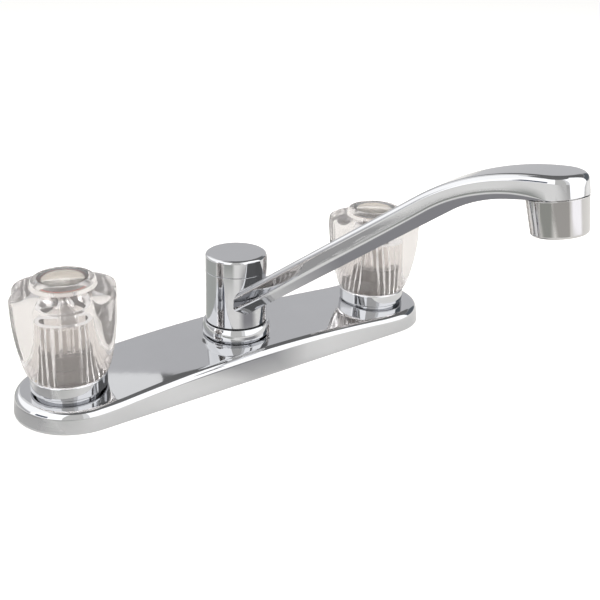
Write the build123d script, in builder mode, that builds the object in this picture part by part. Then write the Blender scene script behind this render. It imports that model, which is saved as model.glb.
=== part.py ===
"""Two-handle kitchen faucet on an 8-inch deck plate, with clear lobed knobs and a swivelling spout.

Frame, in millimetres: the origin lies on the sink deck below the spout's swivel axis, +Z points up,
-Y points to the front and +X runs along the plate, from the hot side to the cold side.
"""

from build123d import *
from math import cos, hypot, pi, radians, sin, tan
import os

os.makedirs("parts", exist_ok=True)

# Deck plate, whose length and arch follow the spacing of the two handles
handle_spacing = 203.2
plate_end_overhang = 27.9
plate_arch_end_gap = 9.6
plate_length = handle_spacing + 2 * plate_end_overhang
plate_arch_half_length = handle_spacing / 2 - plate_arch_end_gap
plate_width = 62.4
plate_height_middle = 14.8
plate_height_end = 10.7
plate_arch_blend_radius = 180.0
plate_draft_angle = 5.0
plate_edge_radius = 4.0
plate_wall = 2.0

# Raised seats on the plate
hub_seat_radius = 17.4
hub_seat_height = 16.1
hub_flare_radius = 25.5
hub_flare_rise = 0.6
hub_flare_sink = 0.35
hub_flare_sagitta = 0.15
handle_seat_radius = 17.2
handle_seat_height = 12.0

# Deck gasket
gasket_thickness = 1.0
gasket_inset = 3.4

# Valve bodies and their threaded shanks
valve_flange_radius = 15.5
valve_flange_height = 3.0
valve_neck_radius = 12.4
chamber_radius = 8.2
chamber_depth = 6.0
thread_radius = 10.45
thread_depth = 0.9
thread_pitch = 1.814
thread_crest_width = 0.7
thread_flank_width = 0.55
thread_start = 4.0
shank_length = 52.0
inlet_radius = 6.6
seat_web_thickness = 10.0
seat_lip_thickness = 1.0
seat_lip_radius = 1.7

# Crossover tubes
tube_radius = 3.7
tube_bore_radius = 2.9
tube_height = 4.9
tube_insertion = 2.4

# Spout post
post_base_radius = 12.5
post_radius = 11.0
post_stub_radius = 7.0
post_stub_height = 6.9
post_bore_radius = 5.5
post_floor_thickness = 2.0
post_bore_headroom = 4.0
post_port_radius = 2.6

# Spout swivel: ring, seals, washers and nut
base_ring_radius = 19.4
base_ring_rim_radius = 18.1
base_ring_height = 6.5
base_ring_bulge = 0.3
base_ring_edge_radius = 0.9
o_ring_wire_radius = 1.0
o_ring_side_gap = 0.2
lower_o_ring_rise = 5.2
upper_o_ring_rise = 23.0
bearing_washer_radius = 16.2
bearing_washer_thickness = 0.5
retaining_washer_thickness = 1.2
retaining_washer_radius = 13.8
retaining_nut_across_flats = 18.0
retaining_nut_height = 5.0

# Spout barrel and cap; rises are counted from the barrel's foot
barrel_radius = 17.0
barrel_height = 29.2
barrel_chamber_radius = 13.4
barrel_chamber_rise = 10.2
barrel_chamber_height = 9.6
barrel_recess_radius = 14.2
barrel_recess_depth = 2.8
cap_seam = 0.35
cap_height = 9.6
cap_edge_radius = 1.8
cap_roof = 3.6
cap_plug_depth = 1.3
cap_plug_wall = 1.8

# Spout arm, in the upright plane through the swivel axis and the outlet; rises are counted as above
spout_angle = 16.7
spout_reach = 173.1
outlet_rise = 102.5
outlet_tilt = 9.6
arm_root_reach = 5.0
arm_top_rise = 13.9
arm_bottom_rise = -2.0
arm_ridge_rise = 0.3
arm_top_bend_radius = 110.0
arm_bottom_bend_radius = 65.0
arm_ridge_bend_radius = 68.0
arm_draw_angle = 52.7
tip_slope_angle = 3.5
tip_thickness = 10.2
tip_radius = 13.2
tip_ridge_slope_angle = -4.6
tip_ridge_drop = 2.1
channel_radius = 3.4

# Distances from the outlet back to the corners in the arm's top line and in its ridge
arm_top_bend_setback = 35.6
arm_ridge_bend_setback = 34.1

# Half widths of the arm seen from above, and how far from the outlet each one is measured
arm_root_half_width = 15.2
arm_root_station = 188.0
arm_root_taper = 0.12
arm_shoulder_half_width = 12.5
arm_shoulder_station = 135.0
arm_waist_half_width = 11.4
arm_waist_station = 79.0
arm_neck_half_width = 11.8
arm_neck_station = 26.0
arm_edge_radius = 3.2

# Aerator
aerator_thread_radius = 11.0
aerator_neck_height = 4.2
aerator_seam = 0.3
aerator_radius = 13.0
aerator_end_radius = 11.9
aerator_length = 16.9
aerator_edge_radius = 1.4
aerator_wall = 1.4
aerator_lip = 1.6
aerator_lip_height = 1.6
aerator_washer_thickness = 1.4
aerator_washer_bore_radius = 6.5
aerator_insert_wall = 1.2
aerator_disc_thickness = 2.4
aerator_hole_radius = 0.7
aerator_hole_circles = ((3.0, 6), (5.6, 12))
aerator_screen_thickness = 0.6
aerator_mesh_pitch = 1.5
aerator_mesh_opening = 1.0
aerator_mesh_count = 7

# Handle collars
collar_radius = 19.4
collar_height = 7.3
collar_edge_radius = 0.9
collar_valve_step = 0.3

# Bonnet nuts
bonnet_thread_length = 8.6
bonnet_hexagon_height = 8.0
bonnet_across_flats = 23.0
bonnet_collar_radius = 10.5
bonnet_collar_height = 6.9

# Valve stems and their seals
stem_radius = 4.0
stem_neck_radius = 2.9
stem_disc_radius = 7.9
stem_disc_thickness = 4.4
stem_thrust_radius = 6.5
stem_thrust_thickness = 1.5
stem_shoulder_gap = 0.5
stem_square = 5.4
stem_square_length = 11.0
stem_port_radius = 1.8
stem_seal_rise = 4.5
stem_seal_wire_radius = 0.52
stem_seal_side_gap = 0.05

# Seats and seat springs
seat_offset = 4.8
seat_radius = 3.1
seat_bore_radius = 1.7
seat_length = 4.7
seat_projection = 0.2
spring_radius = 2.4
spring_wire_radius = 0.25
spring_turns = 3.5

# Knobs; rises are counted from the knob's foot
knob_gap = 0.5
knob_lobes = 6
knob_turn = 4.0
knob_points_per_lobe = 8
knob_groove_softness = 0.3
knob_foot_radius = 19.5
knob_mean_radius = 26.8
knob_lobe_swing = 0.9
knob_body_fullness = 0.65
knob_shoulder_rise = 41.2
knob_shoulder_fullness = 2.45
knob_crown_radius = 15.6
knob_crown_rise = 48.9
knob_rim_height = 1.2
knob_rim_width = 0.3
knob_rim_ledge = 0.3
knob_hollow_depth = 30.2
knob_hollow_foot_radius = 16.0
knob_hollow_top_radius = 11.5
knob_flutes = 30
knob_flute_depth = 0.9
knob_boss_radius = 6.4
knob_screw_web = 8.0
knob_counterbore_radius = 4.6
knob_pocket_radius = 12.6
knob_pocket_depth = 3.8
knob_body_stations = (0, 0.03, 0.1, 0.25, 0.45, 0.65, 0.83, 1)
knob_shoulder_stations = (0.25, 0.5, 0.7, 0.85, 0.95, 1)

# Handle screws
screw_radius = 1.9
screw_head_radius = 3.7
screw_head_height = 2.8
screw_head_edge_radius = 0.9
screw_length = 14.0
screw_hole_depth = 7.0
screw_slot_width = 0.9
screw_slot_depth = 1.2

# Index plates, rings and buttons
index_plate_thickness = 0.6
index_ring_thickness = 0.3
index_ring_inner_radius = 10.1
button_edge_height = 2.8
button_dome_height = 1.5

# Mounting hardware under the sink deck
sink_deck_thickness = 10.0
mounting_washer_radius = 19.0
mounting_washer_thickness = 1.6
mounting_nut_hub_radius = 15.0
mounting_nut_flange_radius = 18.5
mounting_nut_flange_height = 4.0
mounting_nut_height = 15.0
mounting_nut_wing_length = 44.0
mounting_nut_wing_thickness = 5.0
mounting_nut_wing_turn = 30.0

# Clearances, and a margin by which cutting shapes run past what they cut
running_clearance = 0.05
fixed_clearance = 0.03
loose_clearance = 0.3
cut_margin = 1.0
pick_margin = 0.01

# Heights that follow from the stack of pieces
post_base_top = hub_seat_height + base_ring_height
barrel_foot = post_base_top + bearing_washer_thickness + running_clearance
barrel_top = barrel_foot + barrel_height
post_shoulder = barrel_top - barrel_recess_depth + running_clearance
groove_floor = post_radius - 2 * o_ring_wire_radius
collar_top = handle_seat_height + collar_height
valve_top = collar_top + collar_valve_step
chamber_floor = -chamber_depth
seat_web_bottom = chamber_floor - seat_web_thickness
disc_bottom = chamber_floor + seat_projection
bonnet_bottom = valve_top - bonnet_thread_length
bonnet_hexagon_top = valve_top + bonnet_hexagon_height
bonnet_top = bonnet_hexagon_top + bonnet_collar_height
stem_shoulder = bonnet_top + stem_shoulder_gap
stem_top = stem_shoulder + stem_square_length
stem_seal_height = bonnet_bottom + stem_seal_rise
knob_foot = collar_top + knob_gap
knob_crown = knob_foot + knob_crown_rise
knob_rim = knob_crown + knob_rim_height
knob_hollow_ceiling = knob_foot + knob_hollow_depth
knob_screw_seat = stem_top + knob_screw_web
knob_pocket_floor = knob_rim - knob_pocket_depth
index_radius = knob_pocket_radius - fixed_clearance
index_ring_bottom = knob_pocket_floor + index_plate_thickness
button_bottom = index_ring_bottom + index_ring_thickness

handle_places = {"hot": -handle_spacing / 2, "cold": handle_spacing / 2}
handle_points = [(place, 0) for place in handle_places.values()]

# Frames of the spout arm and of its outlet
spout_heading = radians(spout_angle)
tilt = radians(outlet_tilt)
up = Vector(0, 0, 1)
spout_direction = Vector(sin(spout_heading), -cos(spout_heading), 0)
spout_side = Vector(cos(spout_heading), sin(spout_heading), 0)
outlet_height = barrel_foot + outlet_rise
outlet_centre = spout_direction * spout_reach + up * outlet_height
outlet_axis = up * cos(tilt) - spout_direction * sin(tilt)
outlet_across = spout_direction * cos(tilt) + up * sin(tilt)
outlet_plane = Plane(origin=outlet_centre, x_dir=outlet_across, z_dir=outlet_axis)
outlet_profile_plane = Plane(origin=outlet_centre, x_dir=outlet_across, z_dir=outlet_across.cross(outlet_axis))
outlet_line = Axis(outlet_centre, outlet_axis)
arm_plane = Plane(origin=(0, 0, barrel_foot), x_dir=spout_direction, z_dir=-spout_side)


def save(piece, name):
    """Label a finished piece and write its STEP file."""
    piece.label = name
    export_step(piece, f"parts/{name}.step")


def save_at_handle(piece, side, name):
    """Move a piece from the Z axis to the hot or the cold handle and write it."""
    save(Pos(handle_places[side], 0, 0) * piece, f"{side}_{name}")


def plate_form(inset):
    """Drafted stadium under the arched top, drawn in by inset on every face but the bottom."""
    end_height = plate_height_end - inset
    middle_height = plate_height_middle - inset
    half_length = plate_length / 2
    with BuildPart() as form:
        with BuildSketch(Plane.XY):
            SlotOverall(plate_length - 2 * inset, plate_width - 2 * inset)
        extrude(amount=plate_height_middle, taper=plate_draft_angle)
        with BuildSketch(Plane.XZ) as profile:
            with BuildLine():
                arch = ThreePointArc(
                    (-plate_arch_half_length, end_height),
                    (0, middle_height),
                    (plate_arch_half_length, end_height),
                )
                Polyline(
                    arch @ 1,
                    (half_length, end_height),
                    (half_length, 0),
                    (-half_length, 0),
                    (-half_length, end_height),
                    arch @ 0,
                )
            make_face()
            kinks = [v for v in profile.vertices() if abs(abs(v.X) - plate_arch_half_length) < pick_margin]
            fillet(kinks, radius=plate_arch_blend_radius)
        extrude(amount=plate_width, both=True, mode=Mode.INTERSECT)
    return form.part


def is_plate_rim(edge):
    """True for an edge that runs around the plate's top face."""
    lowest = min(vertex.Z for vertex in edge.vertices())
    crosses = edge.geom_type == GeomType.LINE and abs((edge % 0.5).X) < pick_margin
    return lowest > plate_height_end - pick_margin and not crosses


with BuildPart() as deck_plate:
    add(plate_form(0))
    fillet(deck_plate.edges().filter_by(is_plate_rim), radius=plate_edge_radius)
    add(plate_form(plate_wall), mode=Mode.SUBTRACT)
    # Hub seat, which flares gently into the plate's top
    hub_hole_radius = post_base_radius + loose_clearance
    under_top = plate_height_middle - plate_wall
    with BuildSketch(Plane.XZ):
        with BuildLine():
            flare = SagittaArc(
                (hub_flare_radius, plate_height_middle - hub_flare_sink),
                (hub_seat_radius, plate_height_middle + hub_flare_rise),
                hub_flare_sagitta,
            )
            Polyline(
                flare @ 1,
                (hub_seat_radius, hub_seat_height),
                (hub_hole_radius, hub_seat_height),
                (hub_hole_radius, under_top),
                (hub_flare_radius, under_top),
                flare @ 0,
            )
        make_face()
    revolve(axis=Axis.Z)
    # Handle seats
    with BuildSketch(Plane.XY.offset(plate_height_end - plate_wall)):
        with Locations(*handle_points):
            Circle(handle_seat_radius)
    extrude(amount=handle_seat_height - plate_height_end + plate_wall)
    with BuildSketch(Plane.XY):
        Circle(hub_hole_radius)
        with Locations(*handle_points):
            Circle(valve_neck_radius + loose_clearance)
    extrude(amount=hub_seat_height + cut_margin, mode=Mode.SUBTRACT)
save(deck_plate.part, "deck_plate")

with BuildPart() as deck_gasket:
    with BuildSketch(Plane.XY):
        SlotOverall(plate_length - 2 * gasket_inset, plate_width - 2 * gasket_inset)
        Circle(hub_hole_radius, mode=Mode.SUBTRACT)
        with Locations(*handle_points):
            Circle(valve_flange_radius + loose_clearance, mode=Mode.SUBTRACT)
    extrude(amount=gasket_thickness)
save(deck_gasket.part, "deck_gasket")


def thread_outline(top, bottom):
    """Points down the outside of a threaded length: a flat crest and a V groove in each pitch."""
    points = [(thread_radius, top)]
    for turn in range(int((top - bottom) / thread_pitch)):
        crest_end = top - turn * thread_pitch - thread_crest_width
        points.append((thread_radius, crest_end))
        points.append((thread_radius - thread_depth, crest_end - thread_flank_width))
        points.append((thread_radius, top - (turn + 1) * thread_pitch))
    points.append((thread_radius, bottom))
    return points


def valve_body(inward):
    """Brass valve body on the Z axis; inward is +1 or -1, the X side that its crossover tube leaves on."""
    outside = [
        (chamber_radius, valve_top),
        (valve_neck_radius, valve_top),
        (valve_neck_radius, valve_flange_height),
        (valve_flange_radius, valve_flange_height),
        (valve_flange_radius, 0),
        (thread_radius, 0),
    ]
    inside = [
        (inlet_radius, -shank_length),
        (inlet_radius, seat_web_bottom),
        (0, seat_web_bottom),
        (0, chamber_floor),
        (chamber_radius, chamber_floor),
        (chamber_radius, valve_top),
    ]
    with BuildPart() as body:
        with BuildSketch(Plane.XZ):
            with BuildLine():
                Polyline(*outside, *thread_outline(-thread_start, -shank_length), *inside)
            make_face()
        revolve(axis=Axis.Z)
        # Seat pocket, with a lip that carries the spring
        with BuildSketch(Plane.XY.offset(seat_web_bottom + seat_lip_thickness)):
            with Locations((seat_offset, 0)):
                Circle(seat_radius + fixed_clearance)
        extrude(amount=seat_web_thickness - seat_lip_thickness, mode=Mode.SUBTRACT)
        with BuildSketch(Plane.XY.offset(seat_web_bottom)):
            with Locations((seat_offset, 0)):
                Circle(seat_lip_radius)
        extrude(amount=seat_web_thickness, mode=Mode.SUBTRACT)
        # Port and socket for the crossover tube
        with BuildSketch(Plane(origin=(0, 0, tube_height), z_dir=(inward, 0, 0))):
            Circle(tube_bore_radius)
        extrude(amount=valve_flange_radius, mode=Mode.SUBTRACT)
        socket_start = inward * (valve_neck_radius - tube_insertion)
        with BuildSketch(Plane(origin=(socket_start, 0, tube_height), z_dir=(inward, 0, 0))):
            Circle(tube_radius + fixed_clearance)
        extrude(amount=valve_flange_radius, mode=Mode.SUBTRACT)
    return body.part


def crossover_tube(outward):
    """Tube from the spout post to a valve body; outward is +1 or -1, the X side that it runs to."""
    start = post_base_radius - tube_insertion
    end = handle_spacing / 2 - valve_neck_radius + tube_insertion
    with BuildPart() as tube:
        with BuildSketch(Plane(origin=(outward * start, 0, tube_height), z_dir=(outward, 0, 0))):
            Circle(tube_radius)
            Circle(tube_bore_radius, mode=Mode.SUBTRACT)
        extrude(amount=end - start)
    return tube.part


def seal_groove(shaft_radius, floor_radius, height, half_height):
    """Outline points of a groove in the side of a shaft, from its lower to its upper edge."""
    return [
        (shaft_radius, height - half_height),
        (floor_radius, height - half_height),
        (floor_radius, height + half_height),
        (shaft_radius, height + half_height),
    ]


o_ring_heights = [barrel_foot + lower_o_ring_rise, barrel_foot + upper_o_ring_rise]
o_ring_half_height = o_ring_wire_radius + o_ring_side_gap
with BuildPart() as spout_post:
    with BuildSketch(Plane.XZ):
        with BuildLine():
            Polyline(
                (0, 0),
                (post_base_radius, 0),
                (post_base_radius, post_base_top),
                (post_radius, post_base_top),
                *seal_groove(post_radius, groove_floor, o_ring_heights[0], o_ring_half_height),
                *seal_groove(post_radius, groove_floor, o_ring_heights[1], o_ring_half_height),
                (post_radius, post_shoulder),
                (post_stub_radius, post_shoulder),
                (post_stub_radius, post_shoulder + post_stub_height),
                (0, post_shoulder + post_stub_height),
                (0, 0),
            )
        make_face()
    revolve(axis=Axis.Z)
    with BuildSketch(Plane.XY.offset(post_floor_thickness)):
        Circle(post_bore_radius)
    extrude(amount=post_shoulder - post_bore_headroom - post_floor_thickness, mode=Mode.SUBTRACT)
    # Four ports into the barrel's chamber
    port_height = barrel_foot + barrel_chamber_rise + barrel_chamber_height / 2
    for port_direction in ((1, 0, 0), (0, 1, 0)):
        with BuildSketch(Plane(origin=(0, 0, port_height), z_dir=port_direction)):
            Circle(post_port_radius)
        extrude(amount=post_base_radius, both=True, mode=Mode.SUBTRACT)
    # Ports and sockets for the crossover tubes
    with BuildSketch(Plane(origin=(0, 0, tube_height), z_dir=(1, 0, 0))):
        Circle(tube_bore_radius)
    extrude(amount=post_base_radius, both=True, mode=Mode.SUBTRACT)
    for outward in (-1, 1):
        socket_start = outward * (post_base_radius - tube_insertion)
        with BuildSketch(Plane(origin=(socket_start, 0, tube_height), z_dir=(outward, 0, 0))):
            Circle(tube_radius + fixed_clearance)
        extrude(amount=tube_insertion + cut_margin, mode=Mode.SUBTRACT)
save(spout_post.part, "spout_post")

with BuildPart() as spout_o_rings:
    for o_ring_height in o_ring_heights:
        with BuildSketch(Plane.XZ):
            with Locations((groove_floor + o_ring_wire_radius, o_ring_height)):
                Circle(o_ring_wire_radius)
        revolve(axis=Axis.Z)
save(spout_o_rings.part, "spout_o_rings")

with BuildPart() as spout_base_ring:
    ring_middle_radius = (base_ring_radius + base_ring_rim_radius) / 2 + base_ring_bulge
    with BuildSketch(Plane.XZ):
        with BuildLine():
            band = ThreePointArc(
                (base_ring_radius, hub_seat_height),
                (ring_middle_radius, hub_seat_height + base_ring_height / 2),
                (base_ring_rim_radius, post_base_top),
            )
            Polyline(
                band @ 1,
                (post_base_radius + fixed_clearance, post_base_top),
                (post_base_radius + fixed_clearance, hub_seat_height),
                band @ 0,
            )
        make_face()
    revolve(axis=Axis.Z)
    lower_edges = spout_base_ring.edges().filter_by(GeomType.CIRCLE)
    fillet(
        lower_edges.filter_by(lambda edge: abs(edge.radius - base_ring_radius) < pick_margin),
        radius=base_ring_edge_radius,
    )
save(spout_base_ring.part, "spout_base_ring")

with BuildPart() as spout_bearing_washer:
    with BuildSketch(Plane.XY.offset(post_base_top)):
        Circle(bearing_washer_radius)
        Circle(post_radius + loose_clearance, mode=Mode.SUBTRACT)
    extrude(amount=bearing_washer_thickness)
save(spout_bearing_washer.part, "spout_bearing_washer")

with BuildPart() as spout_retaining_washer:
    with BuildSketch(Plane.XY.offset(post_shoulder)):
        Circle(retaining_washer_radius)
        Circle(post_stub_radius + running_clearance, mode=Mode.SUBTRACT)
    extrude(amount=retaining_washer_thickness)
save(spout_retaining_washer.part, "spout_retaining_washer")

with BuildPart() as spout_retaining_nut:
    with BuildSketch(Plane.XY.offset(post_shoulder + retaining_washer_thickness)):
        RegularPolygon(retaining_nut_across_flats / 2, side_count=6, major_radius=False)
        Circle(post_stub_radius + running_clearance, mode=Mode.SUBTRACT)
    extrude(amount=retaining_nut_height)
save(spout_retaining_nut.part, "spout_retaining_nut")

# Straight lines of the arm's side view, each as its height at the swivel axis and its slope
tip_slope = tan(radians(tip_slope_angle))
tip_ridge_slope = tan(radians(tip_ridge_slope_angle))
seam_slope = tan(tilt)
seam_line = (outlet_rise - seam_slope * spout_reach, seam_slope)
tip_top_line = (outlet_rise + tip_thickness - tip_slope * spout_reach, tip_slope)
tip_ridge_line = (outlet_rise - tip_ridge_drop - tip_ridge_slope * spout_reach, tip_ridge_slope)
arm_end_reach = spout_reach + tip_radius + cut_margin


def point_on(line, reach):
    """Point of a straight line at a distance from the swivel axis."""
    return (reach, line[0] + line[1] * reach)


def line_to(rise, point):
    """Straight line from a height at the swivel axis to a point."""
    return (rise, (point[1] - rise) / point[0])


def crossing(line, other_line):
    """Point where two straight lines of the side view meet."""
    return point_on(line, (other_line[0] - line[0]) / (line[1] - other_line[1]))


def midway(line, other_line):
    """Straight line halfway between two others."""
    return ((line[0] + other_line[0]) / 2, (line[1] + other_line[1]) / 2)


top_bend = point_on(tip_top_line, spout_reach - arm_top_bend_setback)
ridge_bend = point_on(tip_ridge_line, spout_reach - arm_ridge_bend_setback)
top_line = line_to(arm_top_rise, top_bend)
ridge_line = line_to(arm_ridge_rise, ridge_bend)
bottom_line = (arm_bottom_rise, top_line[1])
bottom_bend = crossing(bottom_line, seam_line)


def round_bend(view, bend, radius):
    """Round the corner of a side view that lies at a bend."""
    corner = view.vertices().filter_by(lambda v: hypot(v.X - bend[0], v.Y - bend[1]) < pick_margin)
    fillet(corner, radius=radius)


def arm_side_view():
    """Side view of the arm, between its top line and its bottom line."""
    with BuildSketch() as view:
        with BuildLine():
            Polyline(
                point_on(bottom_line, arm_root_reach),
                bottom_bend,
                point_on(seam_line, arm_end_reach),
                point_on(tip_top_line, arm_end_reach),
                top_bend,
                point_on(top_line, arm_root_reach),
                close=True,
            )
        make_face()
        round_bend(view, top_bend, arm_top_bend_radius)
        round_bend(view, bottom_bend, arm_bottom_bend_radius)
    return view.sketch


def below_ridge_view():
    """Side view of all that lies below the arm's side ridge."""
    end_reach = arm_end_reach + tip_radius
    floor = arm_bottom_rise - 2 * barrel_height
    with BuildSketch() as view:
        with BuildLine():
            Polyline(
                point_on(ridge_line, -barrel_radius),
                ridge_bend,
                point_on(tip_ridge_line, end_reach),
                (end_reach, floor),
                (-barrel_radius, floor),
                close=True,
            )
        make_face()
        round_bend(view, ridge_bend, arm_ridge_bend_radius)
    return view.sketch


def is_arm_crown_edge(edge):
    """True for an edge along the two sides of the arm's top or around its tip."""
    middle = edge @ 0.5
    at_side = abs(middle.dot(spout_side)) > arm_waist_half_width / 2
    at_tip = middle.dot(spout_direction) > spout_reach + tip_radius / 2
    return at_side or at_tip


with BuildPart() as spout:
    # Arm: its plan view along the outlet's axis, cut to its side view
    with BuildSketch(outlet_plane.offset(-outlet_rise)):
        with BuildLine():
            left_side = Spline(
                (-arm_root_station, arm_root_half_width),
                (-arm_shoulder_station, arm_shoulder_half_width),
                (-arm_waist_station, arm_waist_half_width),
                (-arm_neck_station, arm_neck_half_width),
                (0, tip_radius),
                tangents=((1, -arm_root_taper), (1, 0)),
            )
            right_side = mirror(left_side, about=Plane.XZ)
            ThreePointArc((0, tip_radius), (tip_radius, 0), (0, -tip_radius))
            Line(left_side @ 0, right_side @ 0)
        make_face()
    extrude(amount=outlet_rise + 2 * tip_radius)
    with BuildSketch(arm_plane):
        add(arm_side_view())
    extrude(amount=2 * arm_root_half_width, both=True, mode=Mode.INTERSECT)
    top_faces = spout.faces().filter_by(lambda face: face.normal_at().Z > cos(pi / 3))
    fillet(top_faces.edges().filter_by(is_arm_crown_edge), radius=arm_edge_radius)
    # Lower side faces that draw in below the ridge
    draw_slope = tan(radians(arm_draw_angle))
    for hand in (1, -1):
        with BuildSketch(arm_plane.move(Pos(0, 0, -draw_slope * arm_waist_half_width))):
            add(below_ridge_view())
        extrude(
            amount=2 * arm_root_half_width,
            dir=spout_side * hand + up * draw_slope,
            mode=Mode.SUBTRACT,
        )
    # Barrel, with its bore, chamber and upper recess
    with BuildSketch(Plane.XY.offset(barrel_foot)):
        Circle(barrel_radius)
    extrude(amount=barrel_height)
    with BuildSketch(Plane.XZ):
        with BuildLine():
            bore_radius = post_radius + running_clearance
            chamber_bottom = barrel_foot + barrel_chamber_rise
            chamber_top = chamber_bottom + barrel_chamber_height
            recess_floor = barrel_top - barrel_recess_depth
            Polyline(
                (0, barrel_foot),
                (bore_radius, barrel_foot),
                (bore_radius, chamber_bottom),
                (barrel_chamber_radius, chamber_bottom),
                (barrel_chamber_radius, chamber_top),
                (bore_radius, chamber_top),
                (bore_radius, recess_floor),
                (barrel_recess_radius, recess_floor),
                (barrel_recess_radius, barrel_top),
                (0, barrel_top),
                (0, barrel_foot),
            )
        make_face()
    revolve(axis=Axis.Z, mode=Mode.SUBTRACT)
    # Water channel from the chamber to the aerator's socket
    channel_line = midway(top_line, bottom_line)
    outlet_channel_line = midway(tip_top_line, seam_line)
    with BuildLine(arm_plane) as channel_path:
        FilletPolyline(
            point_on(channel_line, post_radius),
            crossing(channel_line, outlet_channel_line),
            point_on(outlet_channel_line, spout_reach),
            radius=arm_bottom_bend_radius,
        )
    with BuildSketch(Plane(origin=channel_path.line @ 0, z_dir=channel_path.line % 0)):
        Circle(channel_radius)
    sweep(path=channel_path.line, mode=Mode.SUBTRACT)
    with BuildSketch(outlet_plane):
        Circle(aerator_thread_radius + running_clearance)
    extrude(amount=aerator_neck_height + aerator_washer_thickness, mode=Mode.SUBTRACT)
save(spout.part, "spout")

with BuildPart() as spout_cap:
    cap_top = barrel_top + cap_height
    plug_radius = barrel_recess_radius - fixed_clearance
    cap_hollow_radius = plug_radius - cap_plug_wall
    with BuildSketch(Plane.XZ):
        with BuildLine():
            Polyline(
                (0, cap_top),
                (barrel_radius, cap_top),
                (barrel_radius, barrel_top + cap_seam),
                (barrel_radius - cap_seam, barrel_top),
                (plug_radius, barrel_top),
                (plug_radius, barrel_top - cap_plug_depth),
                (cap_hollow_radius, barrel_top - cap_plug_depth),
                (cap_hollow_radius, cap_top - cap_roof),
                (0, cap_top - cap_roof),
                close=True,
            )
        make_face()
    revolve(axis=Axis.Z)
    fillet(spout_cap.edges().group_by(Axis.Z)[-1], radius=cap_edge_radius)
save(spout_cap.part, "spout_cap")

# Aerator, in the outlet's frame: x is the distance from its axis and y the height above the seam
aerator_bore_radius = aerator_thread_radius - aerator_wall
lip_top = aerator_lip_height - aerator_length
insert_radius = aerator_bore_radius - fixed_clearance
insert_bottom = lip_top + aerator_screen_thickness

with BuildPart() as aerator_housing:
    with BuildSketch(outlet_profile_plane):
        with BuildLine():
            Polyline(
                (aerator_bore_radius, aerator_neck_height),
                (aerator_thread_radius, aerator_neck_height),
                (aerator_thread_radius, -aerator_seam),
                (aerator_radius, -aerator_seam),
                (aerator_end_radius, -aerator_length),
                (aerator_bore_radius - aerator_lip, -aerator_length),
                (aerator_bore_radius - aerator_lip, lip_top),
                (aerator_bore_radius, lip_top),
                close=True,
            )
        make_face()
    revolve(axis=outlet_line)
    round_edges = aerator_housing.edges().filter_by(GeomType.CIRCLE)
    fillet(
        round_edges.filter_by(lambda edge: abs(edge.radius - aerator_end_radius) < pick_margin),
        radius=aerator_edge_radius,
    )
save(aerator_housing.part, "aerator_housing")

with BuildPart() as aerator_insert:
    with BuildSketch(outlet_plane.offset(insert_bottom)):
        Circle(insert_radius)
        Circle(insert_radius - aerator_insert_wall, mode=Mode.SUBTRACT)
    extrude(amount=aerator_neck_height - insert_bottom)
    with BuildSketch(outlet_plane.offset(aerator_neck_height - aerator_disc_thickness)):
        Circle(insert_radius)
        for circle_radius, hole_count in aerator_hole_circles:
            with PolarLocations(circle_radius, hole_count):
                Circle(aerator_hole_radius, mode=Mode.SUBTRACT)
    extrude(amount=aerator_disc_thickness)
save(aerator_insert.part, "aerator_insert")

with BuildPart() as aerator_screen:
    with BuildSketch(outlet_plane.offset(lip_top)):
        Circle(insert_radius)
        with GridLocations(aerator_mesh_pitch, aerator_mesh_pitch, aerator_mesh_count, aerator_mesh_count):
            Rectangle(aerator_mesh_opening, aerator_mesh_opening, mode=Mode.SUBTRACT)
    extrude(amount=aerator_screen_thickness)
save(aerator_screen.part, "aerator_screen")

with BuildPart() as aerator_washer:
    with BuildSketch(outlet_plane.offset(aerator_neck_height)):
        Circle(aerator_thread_radius)
        Circle(aerator_washer_bore_radius, mode=Mode.SUBTRACT)
    extrude(amount=aerator_washer_thickness)
save(aerator_washer.part, "aerator_washer")


def handle_collar():
    """Chrome collar that clamps the plate to the valve body."""
    with BuildPart() as collar:
        with BuildSketch(Plane.XY.offset(handle_seat_height)):
            Circle(collar_radius)
            Circle(valve_neck_radius + fixed_clearance, mode=Mode.SUBTRACT)
        extrude(amount=collar_height)
        round_edges = collar.edges().filter_by(GeomType.CIRCLE)
        fillet(
            round_edges.filter_by(lambda edge: abs(edge.radius - collar_radius) < pick_margin),
            radius=collar_edge_radius,
        )
    return collar.part


def bonnet_nut():
    """Nut that holds the stem down: a threaded skirt, a hexagon and a round collar above it."""
    with BuildPart() as nut:
        with BuildSketch(Plane.XY.offset(bonnet_bottom)):
            Circle(chamber_radius - fixed_clearance)
        extrude(amount=bonnet_thread_length)
        with BuildSketch(Plane.XY.offset(valve_top)):
            RegularPolygon(bonnet_across_flats / 2, side_count=6, major_radius=False)
        extrude(amount=bonnet_hexagon_height)
        with BuildSketch(Plane.XY.offset(bonnet_hexagon_top)):
            Circle(bonnet_collar_radius)
        extrude(amount=bonnet_collar_height)
        with BuildSketch(Plane.XY.offset(bonnet_bottom)):
            Circle(stem_radius + running_clearance)
        extrude(amount=bonnet_top - bonnet_bottom, mode=Mode.SUBTRACT)
    return nut.part


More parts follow.
